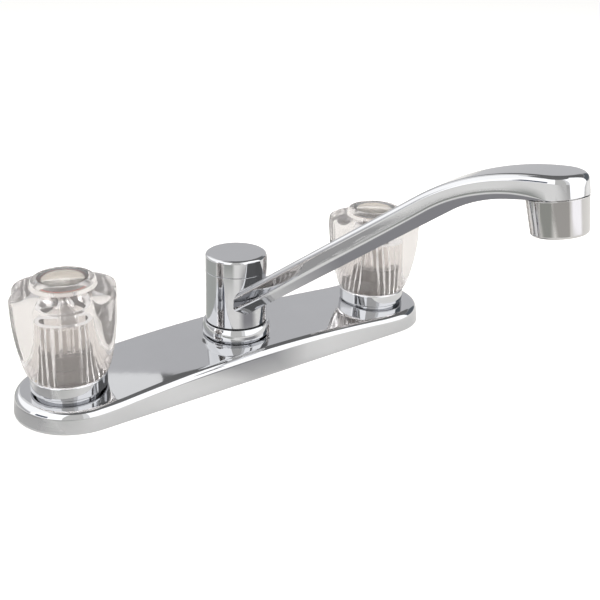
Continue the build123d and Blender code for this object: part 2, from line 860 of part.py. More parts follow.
def valve_stem(port_angle):
    """Stem with a ported disc at its foot and a square end for the knob."""
    disc_top = disc_bottom + stem_disc_thickness
    thrust_top = bonnet_bottom - running_clearance
    thrust_bottom = thrust_top - stem_thrust_thickness
    seal_floor = stem_radius - 2 * stem_seal_wire_radius
    seal_half_height = stem_seal_wire_radius + stem_seal_side_gap
    with BuildPart() as stem:
        with BuildSketch(Plane.XZ):
            with BuildLine():
                Polyline(
                    (0, disc_bottom),
                    (stem_disc_radius, disc_bottom),
                    (stem_disc_radius, disc_top),
                    (stem_neck_radius, disc_top),
                    (stem_neck_radius, thrust_bottom),
                    (stem_thrust_radius, thrust_bottom),
                    (stem_thrust_radius, thrust_top),
                    (stem_radius, thrust_top),
                    *seal_groove(stem_radius, seal_floor, stem_seal_height, seal_half_height),
                    (stem_radius, stem_shoulder),
                    (0, stem_shoulder),
                    (0, disc_bottom),
                )
            make_face()
        revolve(axis=Axis.Z)
        with BuildSketch(Plane.XY.offset(stem_shoulder)):
            Rectangle(stem_square, stem_square)
        extrude(amount=stem_square_length)
        with BuildSketch(Plane.XY.offset(disc_bottom)):
            with PolarLocations(seat_offset, 1, start_angle=port_angle):
                Circle(stem_port_radius)
        extrude(amount=stem_disc_thickness, mode=Mode.SUBTRACT)
        with BuildSketch(Plane.XY.offset(stem_top)):
            Circle(screw_radius + fixed_clearance)
        extrude(amount=-screw_hole_depth, mode=Mode.SUBTRACT)
    return stem.part


def stem_o_ring():
    """Small O-ring in the stem's groove."""
    with BuildPart() as ring:
        with BuildSketch(Plane.XZ):
            with Locations((stem_radius - stem_seal_wire_radius, stem_seal_height)):
                Circle(stem_seal_wire_radius)
        revolve(axis=Axis.Z)
    return ring.part


def valve_seat():
    """Rubber seat that a spring presses against the stem's disc."""
    with BuildPart() as seat:
        with BuildSketch(Plane.XY.offset(disc_bottom)):
            with Locations((seat_offset, 0)):
                Circle(seat_radius)
                Circle(seat_bore_radius, mode=Mode.SUBTRACT)
        extrude(amount=-seat_length)
    return seat.part


def seat_spring():
    """Coil spring between the pocket's lip and the rubber seat."""
    coil_bottom = seat_web_bottom + seat_lip_thickness + spring_wire_radius
    coil_top = disc_bottom - seat_length - spring_wire_radius
    coil_height = coil_top - coil_bottom
    with BuildPart() as spring:
        with BuildLine(Plane.XY.offset(coil_bottom)) as coil:
            Helix(pitch=coil_height / spring_turns, height=coil_height, radius=spring_radius)
        with BuildSketch(Plane(origin=coil.line @ 0, z_dir=coil.line % 0)):
            Circle(spring_wire_radius)
        sweep(path=coil.line)
    return Pos(seat_offset, 0, 0) * spring.part


def lobe_wave(angle):
    """Wave from -1 in the middle of a groove to +1 on a lobe's crest, with grooves narrower than lobes."""
    crest = hypot(1, knob_groove_softness)
    height = hypot(cos(knob_lobes * angle / 2), knob_groove_softness)
    return 2 * (height - knob_groove_softness) / (crest - knob_groove_softness) - 1


def knob_outline(height, radius, swing):
    """Closed lobed outline of the knob at one height."""
    point_count = knob_lobes * knob_points_per_lobe
    points = []
    for step in range(point_count):
        angle = 2 * pi * step / point_count
        reach = radius + swing * lobe_wave(angle - radians(knob_turn))
        points.append((reach * cos(angle), reach * sin(angle)))
    with BuildSketch(Plane.XY.offset(height)) as outline:
        with BuildLine():
            Spline(*points, periodic=True)
        make_face()
    return outline.sketch


def knob_outside():
    """Outer form of the knob: lobes that grow from a round foot and close in over the shoulder."""
    with BuildPart() as outside:
        for share in knob_body_stations:
            growth = sin(pi / 2 * share)
            radius = knob_foot_radius + (knob_mean_radius - knob_foot_radius) * growth**knob_body_fullness
            add(knob_outline(knob_foot + knob_shoulder_rise * share, radius, knob_lobe_swing * growth))
        for share in knob_shoulder_stations:
            height = knob_foot + knob_shoulder_rise + (knob_crown_rise - knob_shoulder_rise) * share
            closing = (1 - share**knob_shoulder_fullness) ** (1 / knob_shoulder_fullness)
            radius = knob_crown_radius + (knob_mean_radius - knob_crown_radius) * closing
            add(knob_outline(height, radius, knob_lobe_swing * closing))
        loft()
    return outside.part


def fluted_outline(height, radius):
    """Zigzag outline of the fluted hollow at one height."""
    points = []
    for step in range(2 * knob_flutes):
        angle = pi * step / knob_flutes
        reach = radius - knob_flute_depth * (step % 2)
        points.append((reach * cos(angle), reach * sin(angle)))
    with BuildSketch(Plane.XY.offset(height)) as outline:
        with BuildLine():
            Polyline(*points, close=True)
        make_face()
    return outline.sketch


def fluted_hollow():
    """Fluted hollow that opens at the knob's foot and narrows towards its ceiling."""
    with BuildPart() as hollow:
        add(fluted_outline(knob_foot, knob_hollow_foot_radius))
        add(fluted_outline(knob_hollow_ceiling, knob_hollow_top_radius))
        loft(ruled=True)
    return hollow.part


def knob():
    """Clear knob with a fluted hollow, a square socket for the stem and a pocket for its button."""
    socket_side = stem_square + 2 * fixed_clearance
    with BuildPart() as body:
        add(knob_outside())
        # Rim around the button's pocket
        with BuildSketch(Plane.XZ):
            with BuildLine():
                Polyline(
                    (0, knob_crown),
                    (knob_crown_radius - knob_rim_ledge, knob_crown),
                    (knob_pocket_radius + knob_rim_width, knob_rim),
                    (0, knob_rim),
                    close=True,
                )
            make_face()
        revolve(axis=Axis.Z)
        add(fluted_hollow(), mode=Mode.SUBTRACT)
        # Boss on the stem's shoulder, with its square socket
        with BuildSketch(Plane.XY.offset(stem_shoulder)):
            Circle(knob_boss_radius)
        extrude(amount=knob_hollow_ceiling - stem_shoulder)
        with BuildSketch(Plane.XY.offset(stem_shoulder)):
            Rectangle(socket_side, socket_side)
        extrude(amount=stem_square_length + loose_clearance, mode=Mode.SUBTRACT)
        # Screw hole, counterbore and button pocket
        with BuildSketch(Plane.XY.offset(stem_shoulder)):
            Circle(screw_radius + fixed_clearance)
        extrude(amount=knob_screw_seat - stem_shoulder, mode=Mode.SUBTRACT)
        with BuildSketch(Plane.XY.offset(knob_screw_seat)):
            Circle(knob_counterbore_radius)
        extrude(amount=knob_rim - knob_screw_seat, mode=Mode.SUBTRACT)
        with BuildSketch(Plane.XY.offset(knob_pocket_floor)):
            Circle(knob_pocket_radius)
        extrude(amount=knob_pocket_depth, mode=Mode.SUBTRACT)
    return body.part


def handle_screw():
    """Slotted pan-head screw that holds the knob on the stem."""
    with BuildPart() as screw:
        with BuildSketch(Plane.XY.offset(knob_screw_seat)):
            Circle(screw_radius)
        extrude(amount=-screw_length)
        with BuildSketch(Plane.XY.offset(knob_screw_seat)):
            Circle(screw_head_radius)
        extrude(amount=screw_head_height)
        fillet(screw.edges().group_by(Axis.Z)[-1], radius=screw_head_edge_radius)
        with BuildSketch(Plane.XY.offset(knob_screw_seat + screw_head_height)):
            Rectangle(2 * screw_head_radius, screw_slot_width)
        extrude(amount=-screw_slot_depth, mode=Mode.SUBTRACT)
    return screw.part


def index_plate():
    """Pale disc at the bottom of the button's pocket."""
    with BuildPart() as plate:
        with BuildSketch(Plane.XY.offset(knob_pocket_floor)):
            Circle(index_radius)
        extrude(amount=index_plate_thickness)
    return plate.part


def index_ring():
    """Thin coloured ring on the index plate."""
    with BuildPart() as ring:
        with BuildSketch(Plane.XY.offset(index_ring_bottom)):
            Circle(index_radius)
            Circle(index_ring_inner_radius, mode=Mode.SUBTRACT)
        extrude(amount=index_ring_thickness)
    return ring.part


def index_button():
    """Clear domed button that closes the knob's pocket."""
    button_edge = button_bottom + button_edge_height
    with BuildPart() as button:
        with BuildSketch(Plane.XZ):
            with BuildLine():
                dome = ThreePointArc(
                    (-index_radius, button_edge),
                    (0, button_edge + button_dome_height),
                    (index_radius, button_edge),
                )
                Polyline(dome @ 1, (index_radius, button_bottom), (-index_radius, button_bottom), dome @ 0)
            make_face()
            split(bisect_by=Plane.YZ, keep=Keep.TOP)
        revolve(axis=Axis.Z)
    return button.part


for side, place in handle_places.items():
    inward = -1 if place > 0 else 1
    save_at_handle(valve_body(inward), side, "valve_body")
    save(crossover_tube(-inward), f"{side}_crossover_tube")
    save_at_handle(valve_seat(), side, "valve_seat")
    save_at_handle(seat_spring(), side, "seat_spring")
    save_at_handle(valve_stem(-90 * inward), side, "valve_stem")
    save_at_handle(stem_o_ring(), side, "stem_o_ring")
    save_at_handle(bonnet_nut(), side, "bonnet_nut")
    save_at_handle(handle_collar(), side, "handle_collar")
    save_at_handle(knob(), side, "knob")
    save_at_handle(handle_screw(), side, "handle_screw")
    save_at_handle(index_plate(), side, "index_plate")
    save_at_handle(index_ring(), side, "index_ring")
    save_at_handle(index_button(), side, "index_button")

with BuildPart() as mounting_washers:
    with BuildSketch(Plane.XY.offset(-sink_deck_thickness)):
        with Locations(*handle_points):
            Circle(mounting_washer_radius)
            Circle(thread_radius + loose_clearance, mode=Mode.SUBTRACT)
    extrude(amount=-mounting_washer_thickness)
save(mounting_washers.part, "mounting_washers")

with BuildPart() as mounting_nuts:
    nut_top = -sink_deck_thickness - mounting_washer_thickness
    with BuildSketch(Plane.XY.offset(nut_top)):
        with Locations(*handle_points):
            Circle(mounting_nut_flange_radius)
    extrude(amount=-mounting_nut_flange_height)
    with BuildSketch(Plane.XY.offset(nut_top)):
        with Locations(*handle_points):
            Circle(mounting_nut_hub_radius)
            SlotOverall(mounting_nut_wing_length, mounting_nut_wing_thickness, rotation=mounting_nut_wing_turn)
    extrude(amount=-mounting_nut_height)
    with BuildSketch(Plane.XY.offset(nut_top)):
        with Locations(*handle_points):
            Circle(thread_radius + fixed_clearance)
    extrude(amount=-mounting_nut_height, mode=Mode.SUBTRACT)
save(mounting_nuts.part, "mounting_nuts")
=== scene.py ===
"""Looks of a two-handle kitchen faucet: chrome deck plate and swivel spout, and two clear lobed knobs.

Lengths are in metres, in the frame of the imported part: the origin lies on the sink deck below the
spout's swivel axis, +Z points up, -Y points to the front and +X runs from the hot to the cold side.
"""

import logging
from collections.abc import Callable, Iterable, Sequence
from dataclasses import dataclass, field, fields
from enum import Enum
from math import acos, atan2, cos, hypot, pi, radians, sin, sqrt, tan

import bmesh
import bpy
import numpy as np
from mathutils import Matrix, Vector


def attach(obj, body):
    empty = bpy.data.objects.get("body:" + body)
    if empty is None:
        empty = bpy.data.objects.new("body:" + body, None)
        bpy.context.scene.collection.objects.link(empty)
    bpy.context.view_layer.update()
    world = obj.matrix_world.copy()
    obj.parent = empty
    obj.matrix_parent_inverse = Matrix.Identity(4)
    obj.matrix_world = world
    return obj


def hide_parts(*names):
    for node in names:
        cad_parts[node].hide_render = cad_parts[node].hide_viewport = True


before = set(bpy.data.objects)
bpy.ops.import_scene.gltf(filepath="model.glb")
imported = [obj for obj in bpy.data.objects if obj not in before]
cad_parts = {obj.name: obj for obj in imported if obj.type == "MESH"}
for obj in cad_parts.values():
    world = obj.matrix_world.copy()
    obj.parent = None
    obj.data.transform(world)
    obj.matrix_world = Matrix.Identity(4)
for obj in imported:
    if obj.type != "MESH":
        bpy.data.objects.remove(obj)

log = logging.getLogger("faucet")

MM = 0.001
MERGE = 1e-7
Point = tuple[float, float]
Colour = tuple[float, float, float]
Rule = Callable[[float], float]
WHITE: Colour = (1.0, 1.0, 1.0)


class Side(Enum):
    """The two handles, each with the sign of its place along X."""

    HOT = ("hot", -1)
    COLD = ("cold", 1)

    @property
    def label(self) -> str:
        """Name that the side's nodes start with."""
        return self.value[0]

    @property
    def sign(self) -> int:
        """Side of the spout that the handle stands on, along X."""
        return self.value[1]


class Body(Enum):
    """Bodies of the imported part."""

    BASE = "faucet_base"
    SPOUT = "spout_assembly"
    HOT_HANDLE = "hot_handle"
    COLD_HANDLE = "cold_handle"


class Slot(Enum):
    """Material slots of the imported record."""

    CHROME = "chrome"
    AERATOR_CHROME = "aerator_chrome"
    CLEAR_ACRYLIC = "clear_acrylic"
    BUTTON_ACRYLIC = "button_acrylic"
    INDEX_PLATE = "index_plate"
    HOT_RING = "hot_ring"
    COLD_RING = "cold_ring"
    BRASS = "brass"
    COPPER = "copper"
    NICKEL = "nickel"
    STEEL = "steel"
    STEM_PLASTIC = "stem_plastic"
    WHITE_NYLON = "white_nylon"
    DARK_NYLON = "dark_nylon"
    BLACK_RUBBER = "black_rubber"


class Tree:
    """Adds and links the nodes of a material, world or geometry tree."""

    def __init__(self, tree: bpy.types.NodeTree) -> None:
        """Take the tree that the nodes go into.

        Args:
            tree: An empty or partly filled node tree.
        """
        self.tree = tree

    def node(self, kind: str, inputs: dict | None = None, **settings: object) -> bpy.types.Node:
        """Add a node.

        Args:
            kind: Blender's name for the type of node.
            inputs: Input sockets by name or number, each with a value or with the socket that feeds it.
            settings: Properties of the node itself.

        Returns:
            The new node.
        """
        node = self.tree.nodes.new(kind)
        for name, value in settings.items():
            setattr(node, name, value)
        for key, value in (inputs or {}).items():
            if isinstance(value, bpy.types.NodeSocket):
                self.tree.links.new(value, node.inputs[key])
            else:
                node.inputs[key].default_value = value
        return node

    def math(self, operation: str, *values: object) -> bpy.types.NodeSocket:
        """Add a math node.

        Args:
            operation: The node's operation.
            values: Its inputs, as numbers or sockets.

        Returns:
            The node's output socket.
        """
        return self.node("ShaderNodeMath", dict(enumerate(values)), operation=operation).outputs[0]

    def end(self, kind: str, source: bpy.types.NodeSocket) -> None:
        """Add the tree's output node and feed its first socket."""
        self.tree.links.new(source, self.node(kind).inputs[0])


def blank_material(name: str) -> tuple[bpy.types.Material, Tree]:
    """Make a material with an empty tree, and hand out both.

    Args:
        name: Name of the material.

    Returns:
        The material and its tree.
    """
    material = bpy.data.materials.new(name)
    material.use_nodes = True
    material.node_tree.nodes.clear()
    return material, Tree(material.node_tree)


def placed(name: str, data: bpy.types.ID) -> bpy.types.Object:
    """Put an object with a mesh, camera or lamp into the scene.

    Args:
        name: Name of the object.
        data: The mesh, camera or lamp.

    Returns:
        The object.
    """
    item = bpy.data.objects.new(name, data)
    bpy.context.scene.collection.objects.link(item)
    return item


@dataclass(frozen=True)
class Finish:
    """Surface finish with a varied roughness and a fine relief, both from noise on Object coordinates.

    Grain sizes are lengths in metres; relief is the depth of the bump.
    """

    slot: Slot
    colour: Colour
    roughness: Point = (0.3, 0.4)
    grain: float = 1.0 * MM
    relief: float = 0.01 * MM
    detail: float = 4.0
    shade_swing: float = 0.08
    shade_grains: float = 5.0
    shade_edges: Point = (0.3, 0.7)

    def shader_settings(self) -> dict[str, object]:
        """Values of the shader's own sockets that are the same all over the surface."""
        return {}

    def noise(self, tree: Tree, point: bpy.types.NodeSocket, size: float) -> bpy.types.NodeSocket:
        """Noise around the surface point, from 0 to 1, with grains of a size."""
        node = tree.node("ShaderNodeTexNoise", {"Vector": point, "Scale": 1 / size, "Detail": self.detail})
        return node.outputs["Fac"]

    def colour_socket(self, tree: Tree, point: bpy.types.NodeSocket) -> bpy.types.NodeSocket:
        """Colour that swings a little around the finish's own, from a slow noise.

        Args:
            tree: Tree of the material.
            point: Socket with the surface point.

        Returns:
            The colour's output socket.
        """
        noise = self.noise(tree, point, self.shade_grains * self.grain)
        ramp = tree.node("ShaderNodeValToRGB", {"Fac": noise})
        swings = (-self.shade_swing, self.shade_swing)
        for stop, position, swing in zip(ramp.color_ramp.elements, self.shade_edges, swings):
            stop.position = position
            stop.color = (*(min(1.0, part * (1 + swing)) for part in self.colour), 1.0)
        return ramp.outputs["Color"]

    def height_socket(self, tree: Tree, point: bpy.types.NodeSocket) -> bpy.types.NodeSocket:
        """Relief of the surface from a fine noise, from 0 to 1."""
        return self.noise(tree, point, self.grain)

    def build(self) -> bpy.types.Material:
        """Make the material.

        Returns:
            A material named after the finish's slot.
        """
        material, tree = blank_material(f"{self.slot.value}_finish")
        point = tree.node("ShaderNodeTexCoord").outputs["Object"]
        height = self.height_socket(tree, point)
        smoothest, roughest = self.roughness
        rough = tree.node("ShaderNodeMapRange", {"Value": height, "To Min": smoothest, "To Max": roughest})
        bump = tree.node("ShaderNodeBump", {"Height": height, "Strength": 1.0, "Distance": self.relief})
        shader = tree.node("ShaderNodeBsdfPrincipled", {
            "Base Color": self.colour_socket(tree, point),
            "Roughness": rough.outputs["Result"],
            "Normal": bump.outputs["Normal"],
            **self.shader_settings(),
        })
        tree.end("ShaderNodeOutputMaterial", shader.outputs["BSDF"])
        return material


@dataclass(frozen=True)
class Metal(Finish):
    """Metal of any kind."""

    def shader_settings(self) -> dict[str, object]:
        """Plain metal."""
        return {"Metallic": 1.0}


@dataclass(frozen=True)
class PlatedMetal(Metal):
    """Mirror plating over a cast and buffed body."""

    roughness: Point = (0.015, 0.06)
    grain: float = 6.0 * MM
    relief: float = 0.004 * MM
    detail: float = 3.0
    shade_swing: float = 0.02


@dataclass(frozen=True)
class TurnedMetal(Metal):
    """Bare metal with the fine rings that a turning tool leaves around the upright axis."""

    roughness: Point = (0.22, 0.42)
    grain: float = 2.0 * MM
    ring_pitch: float = 0.35 * MM
    rings_per_scale: float = 0.16
    waver: float = 1.2
    waver_detail: float = 2.0
    waver_scale: float = 3.0

    def height_socket(self, tree: Tree, point: bpy.types.NodeSocket) -> bpy.types.NodeSocket:
        """Turning marks stacked along the upright axis, broken up a little by noise.

        Args:
            tree: Tree that the marks are made in.
            point: Socket with the place on the piece.

        Returns:
            Socket with the height of the marks.
        """
        wave = tree.node("ShaderNodeTexWave", {
            "Vector": point, "Scale": self.rings_per_scale / self.ring_pitch, "Distortion": self.waver,
            "Detail": self.waver_detail, "Detail Scale": self.waver_scale,
        }, wave_type="BANDS", bands_direction="Z")
        return wave.outputs["Fac"]


@dataclass(frozen=True)
class ClearPlastic(Finish):
    """Clear moulded acrylic with faint flow lines."""

    roughness: Point = (0.0, 0.03)
    grain: float = 5.0 * MM
    relief: float = 0.006 * MM
    detail: float = 2.0
    shade_swing: float = 0.01
    refraction: float = 1.39
    clearness: float = 0.86

    def shader_settings(self) -> dict[str, object]:
        """Mostly transmission, with a little body of its own."""
        return {"Transmission Weight": self.clearness, "IOR": self.refraction}


@dataclass(frozen=True)
class MouldedPlastic(Finish):
    """Solid moulded plastic with a fine satin grain."""

    roughness: Point = (0.32, 0.48)
    grain: float = 0.5 * MM
    relief: float = 0.006 * MM


@dataclass(frozen=True)
class SoftRubber(Finish):
    """Dull moulded rubber."""

    roughness: Point = (0.6, 0.8)
    grain: float = 0.6 * MM
    relief: float = 0.02 * MM
    shade_swing: float = 0.25


FINISHES: tuple[Finish, ...] = (
    PlatedMetal(Slot.CHROME, (0.63, 0.635, 0.65)),
    PlatedMetal(Slot.AERATOR_CHROME, (0.60, 0.59, 0.585)),
    # The clear acrylic's faint pinkish-grey tint is painted shade: it dims the knobs the way the greyer
    # surroundings seen through them would.
    ClearPlastic(Slot.CLEAR_ACRYLIC, (0.95, 0.92, 0.905)),
    ClearPlastic(Slot.BUTTON_ACRYLIC, (0.93, 0.90, 0.86)),
    MouldedPlastic(Slot.INDEX_PLATE, (0.62, 0.56, 0.49)),
    MouldedPlastic(Slot.HOT_RING, (0.62, 0.06, 0.04)),
    MouldedPlastic(Slot.COLD_RING, (0.42, 0.50, 0.60)),
    TurnedMetal(Slot.BRASS, (0.62, 0.45, 0.20)),
    TurnedMetal(Slot.COPPER, (0.70, 0.36, 0.22), ring_pitch=0.8 * MM),
    TurnedMetal(Slot.NICKEL, (0.085, 0.07, 0.06)),
    TurnedMetal(Slot.STEEL, (0.52, 0.52, 0.53)),
    MouldedPlastic(Slot.STEM_PLASTIC, (0.70, 0.67, 0.62)),
    MouldedPlastic(Slot.WHITE_NYLON, (0.78, 0.78, 0.75)),
    MouldedPlastic(Slot.DARK_NYLON, (0.03, 0.03, 0.03)),
    SoftRubber(Slot.BLACK_RUBBER, (0.025, 0.025, 0.025)),
)


class Workshop:
    """Holds the finished materials and turns meshes into dressed pieces."""

    SHARP_ANGLE = radians(28)
    NORMAL_WEIGHT = 60

    def __init__(self) -> None:
        """Build every finish once."""
        self.materials = {finish.slot: finish.build() for finish in FINISHES}

    def dress(self, slots: dict[str, Slot]) -> None:
        """Give CAD nodes that stay as they are their finished materials.

        Args:
            slots: The slot of each node, by the node's name.
        """
        for name, slot in slots.items():
            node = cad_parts[name]
            for place in node.material_slots:
                place.material = self.materials[slot]
            log.info("dressed %s in %s", name, slot.value)

    def piece(self, name: str, mesh: bpy.types.Mesh, slot: Slot, body: Body, nodes: Sequence[str]) -> None:
        """Make a shaded piece that stands for CAD nodes.

        Args:
            name: Name of the piece.
            mesh: Its mesh, in the part's frame.
            slot: Material slot that it takes its finish from.
            body: Body that it rides on.
            nodes: CAD nodes that it stands for.
        """
        mesh.materials.clear()
        mesh.materials.append(self.materials[slot])
        mesh.shade_smooth()
        mesh.set_sharp_from_angle(angle=self.SHARP_ANGLE)
        piece = placed(name, mesh)
        weighted = piece.modifiers.new("weighted_normals", "WEIGHTED_NORMAL")
        weighted.weight = self.NORMAL_WEIGHT
        weighted.keep_sharp = True
        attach(piece, body.value)
        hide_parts(*nodes)
        log.info("made %s with %d faces for %s", name, len(mesh.polygons), ", ".join(nodes))


@dataclass(frozen=True)
class Corner:
    """Corner of an outline, rounded if it has a radius."""

    x: float
    y: float
    radius: float = 0.0
    steps: int = 10

    def points(self, before: "Corner", after: "Corner") -> list[Point]:
        """Points that stand for the corner.

        Args:
            before: The corner before this one.
            after: The corner after this one.

        Returns:
            The corner itself, or the points of its rounding arc.
        """
        if self.radius == 0:
            return [(self.x, self.y)]
        here = Vector((self.x, self.y))
        back = (Vector((before.x, before.y)) - here).normalized()
        ahead = (Vector((after.x, after.y)) - here).normalized()
        half = acos(max(-1.0, min(1.0, back.dot(ahead)))) / 2
        centre = here + (back + ahead).normalized() * (self.radius / sin(half))
        first = here + back * (self.radius / tan(half)) - centre
        last = here + ahead * (self.radius / tan(half)) - centre
        start = atan2(first.y, first.x)
        turn = (atan2(last.y, last.x) - start + pi) % (2 * pi) - pi
        return [
            (centre.x + self.radius * cos(start + turn * step / self.steps),
             centre.y + self.radius * sin(start + turn * step / self.steps))
            for step in range(self.steps + 1)
        ]


def outline(corners: Sequence[Corner]) -> list[Point]:
    """Points of a closed outline.

    Args:
        corners: Its corners, in order.

    Returns:
        The outline's points, with an arc at each rounded corner.
    """
    count = len(corners)
    return [
        point
        for index, corner in enumerate(corners)
        for point in corner.points(corners[index - 1], corners[(index + 1) % count])
    ]


def finished_mesh(name: str, shape: bmesh.types.BMesh) -> bpy.types.Mesh:
    """Merge a shape's doubles, turn its faces outwards and make it a mesh.

    Args:
        name: Name of the mesh.
        shape: The shape, which is freed.

    Returns:
        The mesh.
    """
    bmesh.ops.remove_doubles(shape, verts=shape.verts, dist=MERGE)
    bmesh.ops.dissolve_degenerate(shape, edges=shape.edges, dist=MERGE)
    bmesh.ops.recalc_face_normals(shape, faces=shape.faces)
    mesh = bpy.data.meshes.new(name)
    shape.to_mesh(mesh)
    shape.free()
    return mesh


def baked(name: str, holder: bpy.types.Object, place: Matrix = Matrix()) -> bpy.types.Mesh:
    """Turn what an object's modifiers make into a plain mesh, and remove the object.

    Args:
        name: Name of the mesh.
        holder: The object.
        place: Frame that its shape stands in.

    Returns:
        The mesh.
    """
    bpy.context.view_layer.update()
    graph = bpy.context.evaluated_depsgraph_get()
    result = bpy.data.meshes.new_from_object(holder.evaluated_get(graph))
    bpy.data.objects.remove(holder)
    shape = bmesh.new()
    shape.from_mesh(result)
    bpy.data.meshes.remove(result)
    bmesh.ops.transform(shape, matrix=place, verts=shape.verts)
    return finished_mesh(name, shape)


def grid_mesh(name: str, rows: Sequence[Sequence[Vector]], loop_rows: bool) -> bpy.types.Mesh:
    """Closed mesh of round rows of points that all have the same length.

    Args:
        name: Name of the mesh.
        rows: The rows; points that coincide are merged.
        loop_rows: Whether the last row joins the first.

    Returns:
        The mesh.
    """
    shape = bmesh.new()
    verts = [[shape.verts.new(point) for point in row] for row in rows]
    row_count, column_count = len(rows), len(rows[0])
    for i in range(row_count if loop_rows else row_count - 1):
        near, far = verts[i], verts[(i + 1) % row_count]
        for j in range(column_count):
            following = (j + 1) % column_count
            shape.faces.new((near[j], near[following], far[following], far[j]))
    return finished_mesh(name, shape)


def lathe(name: str, profile: Sequence[Point], steps: int = 256, place: Matrix = Matrix()) -> bpy.types.Mesh:
    """Turn a closed outline around the upright axis.

    Args:
        name: Name of the mesh.
        profile: Points of the outline, each a radius and a height.
        steps: Number of steps around the axis.
        place: Frame that the turned shape stands in.

    Returns:
        The mesh.
    """
    angles = [2 * pi * step / steps for step in range(steps)]
    rows = [[place @ Vector((r * cos(a), r * sin(a), z)) for a in angles] for r, z in profile]
    return grid_mesh(name, rows, loop_rows=True)


class Cut(Enum):
    """How a tool shape changes another shape."""

    JOIN = "UNION"
    REMOVE = "DIFFERENCE"


def combined(name: str, start: bpy.types.Mesh, tools: Iterable[tuple[Cut, bpy.types.Mesh]]) -> bpy.types.Mesh:
    """Join shapes to a mesh, or cut them out of it, one after another.

    Args:
        name: Name of the result.
        start: The mesh to begin with.
        tools: Each step's way and its tool mesh.

    Returns:
        The combined mesh.
    """
    holder = placed(name, start)
    cutters = []
    for way, mesh in tools:
        cutters.append(placed(f"{name}_tool", mesh))
        step = holder.modifiers.new("step", "BOOLEAN")
        step.operation = way.value
        step.solver = "EXACT"
        step.object = cutters[-1]
    result = baked(name, holder)
    for cutter in cutters:
        bpy.data.objects.remove(cutter)
    return result


